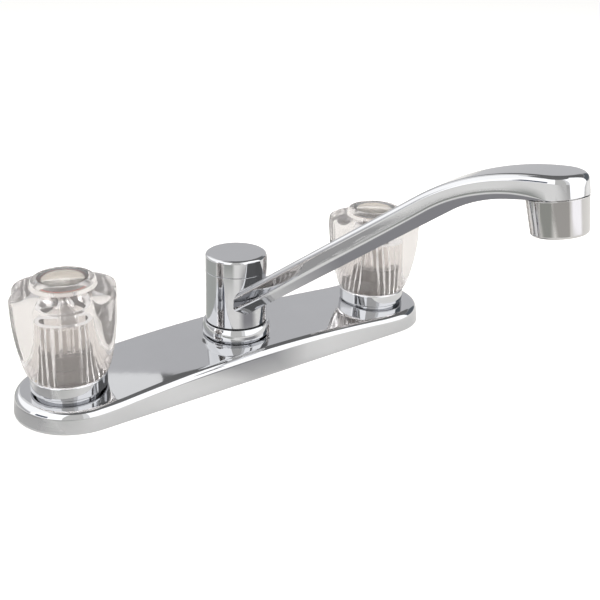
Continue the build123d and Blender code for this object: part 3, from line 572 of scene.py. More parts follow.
@dataclass
class DeckPlate:
    """Chrome shell with full-round ends, an arched top and raised seats, on its gasket."""

    handle_spacing: float = 203.2 * MM
    end_overhang: float = 27.9 * MM
    width: float = 62.4 * MM
    height_middle: float = 14.8 * MM
    height_end: float = 10.7 * MM
    arch_end_gap: float = 9.6 * MM
    arch_blend: float = 180.0 * MM
    draft: float = radians(5)
    edge_radius: float = 4.0 * MM
    wall: float = 2.0 * MM
    hub_seat_radius: float = 17.4 * MM
    hub_seat_height: float = 16.1 * MM
    flare_radius: float = 25.5 * MM
    flare_rise: float = 0.6 * MM
    flare_sink: float = 0.35 * MM
    flare_sagitta: float = 0.15 * MM
    handle_seat_radius: float = 17.2 * MM
    handle_seat_height: float = 12.0 * MM
    post_hole_radius: float = 12.8 * MM
    neck_hole_radius: float = 12.7 * MM
    side_shares: tuple[float, ...] = (0.03, 0.5, 0.97)
    side_steps: int = 110
    end_steps: int = 72
    edge_steps: int = 14
    top_steps: int = 12
    flare_steps: int = 8

    def top(self, x: float) -> float:
        """Height of the plate's top at a place along its length.

        Args:
            x: Place along the plate, from its middle.

        Returns:
            Height above the deck.
        """
        half_arch = self.handle_spacing / 2 - self.arch_end_gap
        rise = self.height_middle - self.height_end
        arch = (half_arch**2 + rise**2) / (2 * rise)
        blend = self.arch_blend
        flat_start = sqrt((arch + blend) ** 2 - (arch + blend - rise) ** 2)
        blend_start = flat_start * arch / (arch + blend)
        along = abs(x)
        if along < blend_start:
            return self.height_middle - arch + sqrt(arch**2 - along**2)
        if along < flat_start:
            return self.height_end + blend - sqrt(blend**2 - (flat_start - along) ** 2)
        return self.height_end

    def ring_rules(self) -> list[tuple[Rule, Rule]]:
        """Rules of the shell's rings, round its rim from the middle of its underside to that of its top.

        Returns:
            Two rules for each ring, its inset and its height, each from the height of the plate's top there.
        """
        centre = self.width / 2
        radius = self.edge_radius
        wall = self.wall
        slope = tan(self.draft)
        wall_top = radius * (1 - sin(self.draft))
        rules: list[tuple[Rule, Rule]] = []
        for step in range(self.top_steps + 1):
            inset = centre - (centre - wall) * step / self.top_steps
            rules.append((
                lambda top, inset=inset: max(inset, wall + (top - wall) * slope),
                lambda top: top - wall,
            ))
        rules.append((lambda top: wall, lambda top: 0.0))
        rules.append((lambda top: 0.0, lambda top: 0.0))
        for share in self.side_shares:
            rules.append((
                lambda top, share=share: (top - wall_top) * share * slope,
                lambda top, share=share: (top - wall_top) * share,
            ))
        for step in range(self.edge_steps + 1):
            angle = self.draft + (pi / 2 - self.draft) * step / self.edge_steps
            rules.append((
                lambda top, angle=angle: (top - wall_top) * slope + radius * (cos(self.draft) - cos(angle)),
                lambda top, angle=angle: top - radius * (1 - sin(angle)),
            ))
        edge_inset = (self.height_middle - wall_top) * slope + radius * cos(self.draft)
        for step in range(1, self.top_steps + 1):
            inset = edge_inset + (centre - edge_inset) * step / self.top_steps
            rules.append((lambda top, inset=inset: inset, lambda top: top))
        return rules

    def shell(self) -> bpy.types.Mesh:
        """Plate without its seats and holes, open below.

        Returns:
            The shell's mesh.
        """
        rows = []
        for inset_at, height_at in self.ring_rules():
            row = []
            for index in range(2 * (self.side_steps + self.end_steps)):
                edge_top = self.top(self.rim_point(index, 0.0)[0])
                x, y = self.rim_point(index, inset_at(edge_top))
                row.append(Vector((x, y, height_at(self.top(x)))))
            rows.append(row)
        return grid_mesh("plate_shell", rows, loop_rows=False)

    def rim_point(self, index: int, inset: float) -> Point:
        """One point of the plate's stadium outline, drawn in by a distance.

        Args:
            index: Number of the point along the outline.
            inset: Distance from the outline at the deck.

        Returns:
            The point.
        """
        radius = self.width / 2 - inset
        half = self.handle_spacing / 2 + self.end_overhang - self.width / 2
        sign = 1 if index < self.side_steps + self.end_steps else -1
        step = index % (self.side_steps + self.end_steps)
        if step < self.side_steps:
            return (sign * half * (1 - 2 * step / self.side_steps), sign * radius)
        angle = pi * (0.5 + (step - self.side_steps) / self.end_steps)
        return (sign * (-half + radius * cos(angle)), sign * radius * sin(angle))

    def hub_seat(self) -> bpy.types.Mesh:
        """Round seat of the spout, which flares gently into the plate's top.

        Returns:
            The seat's mesh, with the upper part of the post's hole.
        """
        under_top = self.height_middle - self.wall
        foot = Vector((self.flare_radius, self.height_middle - self.flare_sink))
        head = Vector((self.hub_seat_radius, self.height_middle + self.flare_rise))
        across = Vector((head.y - foot.y, foot.x - head.x)).normalized()
        flare = []
        for step in range(self.flare_steps + 1):
            share = step / self.flare_steps
            bulge = -4 * self.flare_sagitta * share * (1 - share)
            flare.append(tuple(foot.lerp(head, share) + across * bulge))
        profile = [
            *flare,
            (self.hub_seat_radius, self.hub_seat_height),
            (self.post_hole_radius / 2, self.hub_seat_height),
            (self.post_hole_radius / 2, under_top),
            (self.flare_radius, under_top),
        ]
        return lathe("hub_seat", profile)

    def plug(self, x: float, radius: float, bottom: float, top: float) -> bpy.types.Mesh:
        """Upright round plug.

        Args:
            x: Place of its axis along the plate.
            radius: Its radius.
            bottom: Height of its lower end.
            top: Height of its upper end.

        Returns:
            The plug's mesh.
        """
        place = Matrix.Translation((x, 0, 0))
        return lathe("plug", [(0, bottom), (radius, bottom), (radius, top), (0, top)], place=place)

    def build(self, shop: Workshop) -> None:
        """Make the plate and dress the gasket.

        Args:
            shop: Workshop that takes the pieces.
        """
        under_top = self.height_end - self.wall
        above = self.hub_seat_height + self.wall
        tools = [(Cut.JOIN, self.hub_seat())]
        places = [side.sign * self.handle_spacing / 2 for side in Side]
        for x in places:
            seat = self.plug(x, self.handle_seat_radius, under_top, self.handle_seat_height)
            tools.append((Cut.JOIN, seat))
        for x, radius in ((0.0, self.post_hole_radius), *((x, self.neck_hole_radius) for x in places)):
            tools.append((Cut.REMOVE, self.plug(x, radius, -self.wall, above)))
        mesh = combined("deck_plate_chrome", self.shell(), tools)
        shop.piece("deck_plate_chrome", mesh, Slot.CHROME, Body.BASE, ["deck_plate"])
        shop.dress({"deck_gasket": Slot.BLACK_RUBBER})


@dataclass
class SpoutBase:
    """Brass post with its seals and washers, and the chrome ring at its foot."""

    ring_radius: float = 19.4 * MM
    ring_rim_radius: float = 18.1 * MM
    ring_bottom: float = 16.1 * MM
    ring_height: float = 6.5 * MM
    ring_bulge: float = 0.3 * MM
    ring_edge_radius: float = 0.9 * MM
    ring_rim_edge_radius: float = 0.3 * MM
    ring_bore_radius: float = 12.53 * MM
    face_steps: int = 12
    edge_steps: int = 10
    rim_edge_steps: int = 5

    def ring_profile(self) -> list[Point]:
        """Outline of the ring: a bulging face that narrows towards its top, and rounded edges.

        Returns:
            Points of the outline, by radius and height.
        """
        top = self.ring_bottom + self.ring_height
        face = []
        for step in range(1, self.face_steps):
            share = step / self.face_steps
            radius = self.ring_radius + (self.ring_rim_radius - self.ring_radius) * share
            radius += 4 * self.ring_bulge * share * (1 - share)
            face.append(Corner(radius, self.ring_bottom + self.ring_height * share))
        lowest = self.ring_bottom + self.ring_edge_radius
        highest = top - 2 * self.ring_rim_edge_radius
        return outline([
            Corner(self.ring_bore_radius, self.ring_bottom),
            Corner(self.ring_radius, self.ring_bottom, self.ring_edge_radius, self.edge_steps),
            *(corner for corner in face if lowest < corner.y < highest),
            Corner(self.ring_rim_radius, top, self.ring_rim_edge_radius, self.rim_edge_steps),
            Corner(self.ring_bore_radius, top),
        ])

    def build(self, shop: Workshop) -> None:
        """Make the ring and dress the post and what is on it.

        Args:
            shop: Workshop that takes the pieces.
        """
        mesh = lathe("spout_base_ring_chrome", self.ring_profile())
        shop.piece("spout_base_ring_chrome", mesh, Slot.CHROME, Body.BASE, ["spout_base_ring"])
        shop.dress({
            "spout_post": Slot.BRASS,
            "spout_o_rings": Slot.BLACK_RUBBER,
            "spout_bearing_washer": Slot.DARK_NYLON,
            "spout_retaining_washer": Slot.STEEL,
            "spout_retaining_nut": Slot.BRASS,
        })


@dataclass(frozen=True)
class BentLine:
    """Side view of an edge: a straight run, a round bend and another straight run.

    Each run is given by its height at the swivel axis and its slope.
    """

    first: Point
    second: Point
    radius: float

    def height(self, reach: float) -> float:
        """Height of the line at a distance from the swivel axis.

        Args:
            reach: Distance from the swivel axis.

        Returns:
            The line's height there.
        """
        (h1, m1), (h2, m2) = self.first, self.second
        n1, n2 = hypot(1, m1), hypot(1, m2)
        centre_reach = ((h2 - self.radius * n2) - (h1 - self.radius * n1)) / (m1 - m2)
        centre_height = h1 + m1 * centre_reach - self.radius * n1
        if reach < centre_reach - self.radius * m1 / n1:
            return h1 + m1 * reach
        if reach > centre_reach - self.radius * m2 / n2:
            return h2 + m2 * reach
        return centre_height + sqrt(self.radius**2 - (reach - centre_reach) ** 2)


@dataclass
class Spout:
    """Barrel and faceted arm in one casting, and the cap on the barrel, with the outlet frame that the
    aerator below the tip hangs from.
    """

    heading: float = radians(16.7)
    tilt: float = radians(9.6)
    reach: float = 173.1 * MM
    outlet_rise: float = 102.5 * MM
    foot: float = 23.15 * MM
    top_rise: float = 13.9 * MM
    bottom_rise: float = -2.0 * MM
    ridge_rise: float = 0.3 * MM
    top_bend: float = 110.0 * MM
    bottom_bend: float = 65.0 * MM
    ridge_bend: float = 68.0 * MM
    top_setback: float = 35.6 * MM
    ridge_setback: float = 34.1 * MM
    draw_angle: float = radians(52.7)
    tip_slope_angle: float = radians(3.5)
    tip_thickness: float = 10.2 * MM
    tip_ridge_slope_angle: float = radians(-4.6)
    tip_ridge_drop: float = 2.1 * MM
    tip_radius: float = 13.19 * MM
    edge_radius: float = 3.2 * MM
    ridge_round: float = 1.3 * MM
    waist_half_width: float = 11.4 * MM
    root_taper: float = 0.12
    root_station: float = -180.0 * MM
    width_stations: tuple[Point, ...] = (
        (-188.0 * MM, 15.2 * MM), (-135.0 * MM, 12.5 * MM), (-79.0 * MM, 11.4 * MM), (-26.0 * MM, 11.8 * MM),
        (0.0, 13.19 * MM),
    )
    barrel_radius: float = 17.0 * MM
    barrel_height: float = 29.2 * MM
    bore_radius: float = 11.05 * MM
    chamber_radius: float = 13.4 * MM
    chamber_rise: float = 10.2 * MM
    chamber_height: float = 9.6 * MM
    recess_radius: float = 14.2 * MM
    recess_depth: float = 2.8 * MM
    foot_break: float = 0.25 * MM
    socket_radius: float = 11.05 * MM
    socket_depth: float = 5.6 * MM
    cap_height: float = 9.6 * MM
    cap_seam: float = 0.35 * MM
    cap_foot_break: float = 0.1 * MM
    cap_edge_radius: float = 1.8 * MM
    cap_roof: float = 3.6 * MM
    cap_plug_radius: float = 14.17 * MM
    cap_plug_depth: float = 1.3 * MM
    cap_plug_wall: float = 1.8 * MM
    margin: float = 1.0 * MM
    side_columns: int = 170
    tip_columns: int = 64
    edge_steps: int = 10
    ridge_steps: int = 5
    top_rows: int = 3
    cap_edge_steps: int = 16
    break_steps: int = 3
    level_rounds: int = 40
    level_step: float = 0.8
    station_slopes: np.ndarray = field(init=False)

    def __post_init__(self) -> None:
        """Work out the slope of the arm's plan view at each width station."""
        along = np.array([station[0] for station in self.width_stations])
        widths = np.array([station[1] for station in self.width_stations])
        gaps = np.diff(along)
        steps = np.diff(widths) / gaps
        count = len(along)
        matrix, right = np.eye(count), np.zeros(count)
        right[0], right[-1] = -self.root_taper, 0.0
        for i in range(1, count - 1):
            matrix[i, i - 1: i + 2] = gaps[i], 2 * (gaps[i - 1] + gaps[i]), gaps[i - 1]
            right[i] = 3 * (gaps[i] * steps[i - 1] + gaps[i - 1] * steps[i])
        self.station_slopes = np.linalg.solve(matrix, right)

    @property
    def outlet(self) -> Matrix:
        """Frame of the outlet: X along the arm, Y across it and Z up the outlet's axis, at the seam.

        Returns:
            The frame, with its origin on the outlet's axis.
        """
        direction = Vector((sin(self.heading), -cos(self.heading), 0))
        side = Vector((cos(self.heading), sin(self.heading), 0))
        up = Vector((0, 0, 1))
        across = direction * cos(self.tilt) + up * sin(self.tilt)
        axis = up * cos(self.tilt) - direction * sin(self.tilt)
        centre = direction * self.reach + up * (self.foot + self.outlet_rise)
        return Matrix((
            (across.x, side.x, axis.x, centre.x),
            (across.y, side.y, axis.y, centre.y),
            (across.z, side.z, axis.z, centre.z),
            (0, 0, 0, 1),
        ))

    def half_width(self, along: float) -> float:
        """Half width of the arm in plan, by distance from the outlet's axis, negative towards the barrel.

        Args:
            along: Distance from the outlet's axis.

        Returns:
            The half width there.
        """
        if along >= 0:
            return sqrt(max(0.0, self.tip_radius**2 - along**2))
        index = max(i for i, station in enumerate(self.width_stations[:-1]) if station[0] <= along)
        (a, wa), (b, wb) = self.width_stations[index], self.width_stations[index + 1]
        gap, t = b - a, (along - a) / (b - a)
        sa, sb = self.station_slopes[index] * gap, self.station_slopes[index + 1] * gap
        return float((2 * t**3 - 3 * t**2 + 1) * wa + (t**3 - 2 * t**2 + t) * sa
                     + (3 * t**2 - 2 * t**3) * wb + (t**3 - t**2) * sb)

    def level(self, line: BentLine, along: float, lift: float = 0.0) -> float:
        """Height of a side-view line above the outlet's plane.

        Args:
            line: The line.
            along: Distance from the outlet's axis, in the outlet's frame.
            lift: Distance by which the line is raised.

        Returns:
            The height at which a column at that place meets the line.
        """
        level = 0.0
        for _ in range(self.level_rounds):
            reach = self.reach + along * cos(self.tilt) - level * sin(self.tilt)
            height = self.outlet_rise + along * sin(self.tilt) + level * cos(self.tilt)
            level += (line.height(reach) + lift - height) * self.level_step
        return level

    def lines(self) -> tuple[BentLine, BentLine, BentLine]:
        """Top, ridge and bottom lines of the arm's side view.

        Returns:
            The three lines.
        """
        top_slope = tan(self.tip_slope_angle)
        ridge_slope = tan(self.tip_ridge_slope_angle)
        seam_slope = tan(self.tilt)
        tip_top = self.outlet_rise + self.tip_thickness
        tip_ridge = self.outlet_rise - self.tip_ridge_drop
        top_bend_rise = tip_top - top_slope * self.top_setback
        ridge_bend_rise = tip_ridge - ridge_slope * self.ridge_setback
        slope = (top_bend_rise - self.top_rise) / (self.reach - self.top_setback)
        along_ridge = (ridge_bend_rise - self.ridge_rise) / (self.reach - self.ridge_setback)
        top_end = (tip_top - top_slope * self.reach, top_slope)
        ridge_end = (tip_ridge - ridge_slope * self.reach, ridge_slope)
        bottom_end = (self.outlet_rise - seam_slope * self.reach, seam_slope)
        return (
            BentLine((self.top_rise, slope), top_end, self.top_bend),
            BentLine((self.ridge_rise, along_ridge), ridge_end, self.ridge_bend),
            BentLine((self.bottom_rise, slope), bottom_end, self.bottom_bend),
        )

    def section(self, along: float, across: float) -> list[Point]:
        """Half section of the arm, from the middle of its bottom to the middle of its top.

        Args:
            along: Place of the section, from the outlet's axis.
            across: Half width there.

        Returns:
            Points, each a share of the half width and a height above the outlet's plane.
        """
        top_line, ridge_line, bottom_line = self.lines()
        draw = tan(self.draw_angle)
        waist = self.waist_half_width
        top = self.level(top_line, along)
        bottom = self.level(bottom_line, along)
        slope = (self.level(top_line, along + MM) - top) / MM
        waist_ridge = self.level(ridge_line, along)
        ridge_rise = (self.level(ridge_line, along, draw * MM) - waist_ridge) / MM
        ridge = max(waist_ridge + (across - waist) * ridge_rise, bottom)
        corner = min(waist + (bottom - waist_ridge) / ridge_rise, across)
        stretch = self.edge_radius * hypot(1, slope)
        facet = hypot(across - corner, ridge - bottom)
        reach = min(self.ridge_round, facet / 2)
        inwards = reach / facet * (across - corner) if facet > 0 else 0.0
        downwards = reach / facet * (ridge - bottom) if facet > 0 else 0.0
        points = [(0.0, bottom), (corner / across, bottom)]
        for step in range(self.ridge_steps + 1):
            share = step / self.ridge_steps
            left = (1 - share) ** 2
            points.append((1.0 - inwards / across * left, ridge - downwards * left + reach * share**2))
        points.append((1.0, (ridge + top - stretch) / 2))
        for step in range(self.edge_steps + 1):
            angle = pi / 2 * step / self.edge_steps
            share = (across - self.edge_radius * (1 - cos(angle))) / across
            points.append((share, top - stretch * (1 - sin(angle))))
        flat = points[-1][0]
        for row in range(1, self.top_rows + 1):
            points.append((flat * (1 - row / self.top_rows), top))
        return points

    def arm(self) -> bpy.types.Mesh:
        """Arm from inside the barrel to its round tip.

        Returns:
            The arm's mesh.
        """
        rows = []
        for sign in (1, -1):
            places = [self.root_station * (1 - step / self.side_columns) for step in range(self.side_columns)]
            if sign < 0:
                places.reverse()
                rows += self.tip_rows()
            for along in places:
                width = self.half_width(along)
                section = self.section(along, width)
                rows.append([Vector((along, sign * share * width, level)) for share, level in section])
        shape = bmesh.new()
        grid = [[shape.verts.new(self.outlet @ point) for point in row] for row in rows]
        for near, far in zip(grid, grid[1:]):
            for k in range(len(near) - 1):
                shape.faces.new((near[k], near[k + 1], far[k + 1], far[k]))
        shape.faces.new([*grid[0], *reversed(grid[-1][1:-1])])
        return finished_mesh("spout_arm", shape)

    def tip_rows(self) -> list[list[Vector]]:
        """Sections fanned around the outlet's axis at the arm's round tip.

        Returns:
            One row of points for each direction, from one side of the arm to the other.
        """
        rows = []
        top_line = self.lines()[0]
        reference = self.level(top_line, 0.0)
        first = self.section(0.0, self.tip_radius)
        plain = self.section(0.0, self.tip_radius - 2 * self.ridge_round)
        for step in range(self.tip_columns + 1):
            angle = pi / 2 - pi * step / self.tip_columns
            fade = min(1.0, cos(angle) * self.tip_radius / self.ridge_round)
            row = []
            for index, (share, level) in enumerate(first):
                if 0 < index <= self.ridge_steps + 2:
                    share += (1.0 - share) * fade
                    level += (plain[index][1] - level) * fade
                radius = share * self.tip_radius
                along = radius * cos(angle)
                if level > self.tip_thickness / 2:
                    level += self.level(top_line, along) - reference
                row.append(Vector((along, radius * sin(angle), level)))
            rows.append(row)
        return rows

    def barrel(self) -> bpy.types.Mesh:
        """Barrel before it is bored.

        Returns:
            The barrel's mesh.
        """
        top = self.foot + self.barrel_height
        corners = [
            Corner(0, self.foot),
            Corner(self.barrel_radius, self.foot, self.foot_break, self.break_steps),
            Corner(self.barrel_radius, self.foot + self.barrel_height / 2),
            Corner(self.barrel_radius, top, self.foot_break / 2, self.break_steps),
            Corner(0, top),
        ]
        return lathe("barrel", outline(corners))

    def bore(self) -> bpy.types.Mesh:
        """Shape of the barrel's bore, chamber and upper recess.

        Returns:
            Mesh of what is cut out of the barrel.
        """
        bottom = self.foot - self.margin
        chamber = self.foot + self.chamber_rise
        chamber_roof = chamber + self.chamber_height
        top = self.foot + self.barrel_height
        recess = top - self.recess_depth
        return lathe("bore", [
            (0, bottom),
            (self.bore_radius, bottom),
            (self.bore_radius, chamber),
            (self.chamber_radius, chamber),
            (self.chamber_radius, chamber_roof),
            (self.bore_radius, chamber_roof),
            (self.bore_radius, recess),
            (self.recess_radius, recess),
            (self.recess_radius, top + self.margin),
            (0, top + self.margin),
        ])

    def cap(self) -> bpy.types.Mesh:
        """Cap with its rounded edge and the plug that sits in the barrel.

        Returns:
            The cap's mesh.
        """
        bottom = self.foot + self.barrel_height
        top = bottom + self.cap_height
        hollow = self.cap_plug_radius - self.cap_plug_wall
        corners = [
            Corner(0, top),
            Corner(self.barrel_radius, top, self.cap_edge_radius, self.cap_edge_steps),
            Corner(self.barrel_radius, bottom + self.cap_seam, self.cap_foot_break, self.break_steps),
            Corner(self.barrel_radius - self.cap_seam, bottom),
            Corner(self.cap_plug_radius, bottom),
            Corner(self.cap_plug_radius, bottom - self.cap_plug_depth),
            Corner(hollow, bottom - self.cap_plug_depth),
            Corner(hollow, top - self.cap_roof),
            Corner(0, top - self.cap_roof),
        ]
        return lathe("spout_cap_chrome", outline(corners))

    def build(self, shop: Workshop) -> None:
        """Make the casting and its cap.

        Args:
            shop: Workshop that takes the pieces.
        """
        socket = [
            (0, -self.margin),
            (self.socket_radius, -self.margin),
            (self.socket_radius, self.socket_depth),
            (0, self.socket_depth),
        ]
        casting = combined("spout_chrome", self.barrel(), [
            (Cut.JOIN, self.arm()),
            (Cut.REMOVE, self.bore()),
            (Cut.REMOVE, lathe("socket", socket, place=self.outlet)),
        ])
        shop.piece("spout_chrome", casting, Slot.CHROME, Body.SPOUT, ["spout"])
        shop.piece("spout_cap_chrome", self.cap(), Slot.CHROME, Body.SPOUT, ["spout_cap"])


@dataclass
class Aerator:
    """Tapered chrome housing with its insert, screen and washer."""

    outlet: Matrix
    thread_radius: float = 11.0 * MM
    neck_height: float = 4.2 * MM
    seam: float = 0.55 * MM
    radius: float = 13.0 * MM
    end_radius: float = 11.89 * MM
    length: float = 16.9 * MM
    edge_radius: float = 1.4 * MM
    rim_radius: float = 0.25 * MM
    bore_radius: float = 9.6 * MM
    lip_radius: float = 8.0 * MM
    lip_height: float = 1.6 * MM
    edge_steps: int = 14
    rim_steps: int = 4

    def build(self, shop: Workshop) -> None:
        """Make the housing and dress what is inside it.

        Args:
            shop: Workshop that takes the pieces.
        """
        lip_top = self.lip_height - self.length
        corners = [
            Corner(self.bore_radius, self.neck_height),
            Corner(self.thread_radius, self.neck_height),
            Corner(self.thread_radius, -self.seam),
            Corner(self.radius, -self.seam, self.rim_radius, self.rim_steps),
            Corner(self.end_radius, -self.length, self.edge_radius, self.edge_steps),
            Corner(self.lip_radius, -self.length, self.rim_radius, self.rim_steps),
            Corner(self.lip_radius, lip_top),
            Corner(self.bore_radius, lip_top),
        ]
        mesh = lathe("aerator_housing_chrome", outline(corners), place=self.outlet)
        shop.piece("aerator_housing_chrome", mesh, Slot.AERATOR_CHROME, Body.SPOUT, ["aerator_housing"])
        shop.dress({
            "aerator_insert": Slot.WHITE_NYLON,
            "aerator_screen": Slot.STEEL,
            "aerator_washer": Slot.BLACK_RUBBER,
        })


@dataclass(frozen=True)
class Ring:
    """One ring of the knob's profile: a radius, a height and how much of each outline it takes."""

    radius: float
    height: float
    lobes: float = 0.0
    flutes: float = 0.0
    square: float = 0.0


RING_VALUES = tuple(part.name for part in fields(Ring))


class SpunFormTree:
    """Geometry tree that spins a profile whose rings may be lobed, fluted or square."""

    SIZES = {
        "Segments": ("NodeSocketInt", 360),
        "Lobe Count": ("NodeSocketInt", 6),
        "Lobe Turn": ("NodeSocketFloat", 0.0),
        "Lobe Swing": ("NodeSocketFloat", 0.9 * MM),
        "Groove Softness": ("NodeSocketFloat", 0.3),
        "Flute Count": ("NodeSocketInt", 30),
        "Flute Depth": ("NodeSocketFloat", 0.9 * MM),
        "Material": ("NodeSocketMaterial", None),
    }
    MERGE_DISTANCE = 10 * MERGE

    def __init__(self) -> None:
        """Build the tree and keep its input sockets' identifiers."""
        group = bpy.data.node_groups.new("spun_form", "GeometryNodeTree")
        group.interface.new_socket("Geometry", in_out="INPUT", socket_type="NodeSocketGeometry")
        group.interface.new_socket("Geometry", in_out="OUTPUT", socket_type="NodeSocketGeometry")
        self.identifiers: dict[str, str] = {}
        for name, (kind, value) in self.SIZES.items():
            socket = group.interface.new_socket(name, in_out="INPUT", socket_type=kind)
            if value is not None:
                socket.default_value = value
            self.identifiers[name] = socket.identifier
        self.group = group
        self.tree = Tree(group)
        self._fill()

    def _ring_value(self, name: str, profile: bpy.types.NodeSocket,
                    ring: bpy.types.NodeSocket) -> bpy.types.NodeSocket:
        """Value of one of the profile's attributes at a ring.

        Args:
            name: Name of the attribute.
            profile: Socket with the profile's points, one for each ring.
            ring: Socket with the ring's number.

        Returns:
            Socket with the value.
        """
        value = self.tree.node("GeometryNodeInputNamedAttribute", {"Name": name}, data_type="FLOAT")
        sample = self.tree.node("GeometryNodeSampleIndex", {
            "Geometry": profile, "Value": value.outputs["Attribute"], "Index": ring,
        }, data_type="FLOAT", domain="POINT")
        return sample.outputs["Value"]

    def _lobe_wave(self, angle: bpy.types.NodeSocket,
                   sizes: dict[str, bpy.types.NodeSocket]) -> bpy.types.NodeSocket:
        """Wave from -1 in a groove to +1 on a lobe's crest, with grooves narrower than lobes.

        Args:
            angle: Socket with the direction from the axis.
            sizes: The tree's named inputs.

        Returns:
            Socket with the wave's value.
        """
        t = self.tree
        softness = sizes["Groove Softness"]
        half_turns = t.math("MULTIPLY", t.math("SUBTRACT", angle, sizes["Lobe Turn"]), sizes["Lobe Count"])
        swing = t.math("COSINE", t.math("MULTIPLY", half_turns, 0.5))
        soft_square = t.math("MULTIPLY", softness, softness)
        height = t.math("SQRT", t.math("ADD", t.math("MULTIPLY", swing, swing), soft_square))
        crest = t.math("SQRT", t.math("ADD", 1.0, soft_square))
        share = t.math("DIVIDE", t.math("SUBTRACT", height, softness), t.math("SUBTRACT", crest, softness))
        return t.math("SUBTRACT", t.math("MULTIPLY", share, 2.0), 1.0)

    def _fill(self) -> None:
        """Add the nodes, from the profile to the closed form."""
        t = self.tree
        source = t.node("NodeGroupInput")
        sizes = {name: source.outputs[name] for name in self.SIZES}
        profile = source.outputs["Geometry"]
        count = t.node("GeometryNodeAttributeDomainSize", {"Geometry": profile}, component="MESH")
        rings = count.outputs["Point Count"]
        columns = t.math("ADD", sizes["Segments"], 1.0)
        grid = t.node("GeometryNodeMeshGrid", {
            "Size X": 1.0, "Size Y": 1.0, "Vertices X": rings, "Vertices Y": columns,
        })
        where = t.node("GeometryNodeInputPosition").outputs["Position"]
        place = t.node("ShaderNodeSeparateXYZ", {"Vector": where})
        last = t.math("SUBTRACT", rings, 1.0)
        ring = t.math("ROUND", t.math("MULTIPLY", t.math("ADD", place.outputs["X"], 0.5), last))
        angle = t.math("MULTIPLY", t.math("ADD", place.outputs["Y"], 0.5), 2 * pi)
        across, upwards = t.math("COSINE", angle), t.math("SINE", angle)
        values = {name: self._ring_value(name, profile, ring) for name in RING_VALUES}
        swing = t.math("MULTIPLY", self._lobe_wave(angle, sizes), sizes["Lobe Swing"])
        lobe = t.math("MULTIPLY", swing, values["lobes"])
        flute_step = t.math("MULTIPLY", angle, t.math("DIVIDE", sizes["Flute Count"], pi))
        zigzag = t.math("MULTIPLY", t.math("PINGPONG", flute_step, 1.0), sizes["Flute Depth"])
        flute = t.math("MULTIPLY", zigzag, values["flutes"])
        round_reach = t.math("SUBTRACT", t.math("ADD", values["radius"], lobe), flute)
        widest = t.math("MAXIMUM", t.math("ABSOLUTE", across), t.math("ABSOLUTE", upwards))
        square_reach = t.math("DIVIDE", values["radius"], widest)
        mix = t.node("ShaderNodeMix", {
            "Factor": values["square"], "A": round_reach, "B": square_reach,
        }, data_type="FLOAT")
        reach = mix.outputs["Result"]
        point = t.node("ShaderNodeCombineXYZ", {
            "X": t.math("MULTIPLY", reach, across),
            "Y": t.math("MULTIPLY", reach, upwards),
            "Z": values["height"],
        })
        moved = t.node("GeometryNodeSetPosition", {
            "Geometry": grid.outputs["Mesh"], "Position": point.outputs["Vector"],
        })
        merged = t.node("GeometryNodeMergeByDistance", {
            "Geometry": moved.outputs["Geometry"], "Distance": self.MERGE_DISTANCE,
        })
        real = t.node("GeometryNodeRealizeInstances", {"Geometry": merged.outputs["Geometry"]})
        dressed = t.node("GeometryNodeSetMaterial", {
            "Geometry": real.outputs["Geometry"], "Material": sizes["Material"],
        })
        t.end("NodeGroupOutput", dressed.outputs["Geometry"])

    def spin(self, name: str, rings: Sequence[Ring], sizes: dict[str, object],
             place: Matrix) -> bpy.types.Mesh:
        """Bake a form into a plain mesh.

        Args:
            name: Name of the mesh.
            rings: The profile's rings; the last one joins the first.
            sizes: Values of the tree's named inputs.
            place: Frame that the form stands in.

        Returns:
            The mesh.
        """
        closed = [*rings, rings[0]]
        profile = bpy.data.meshes.new(name)
        profile.from_pydata([(ring.radius, 0, ring.height) for ring in closed], [], [])
        for attribute in RING_VALUES:
            layer = profile.attributes.new(attribute, "FLOAT", "POINT")
            layer.data.foreach_set("value", [getattr(ring, attribute) for ring in closed])
        holder = placed(name, profile)
        spun = holder.modifiers.new("spun", "NODES")
        spun.node_group = self.group
        for size, value in sizes.items():
            spun[self.identifiers[size]] = value
        return baked(name, holder, place)


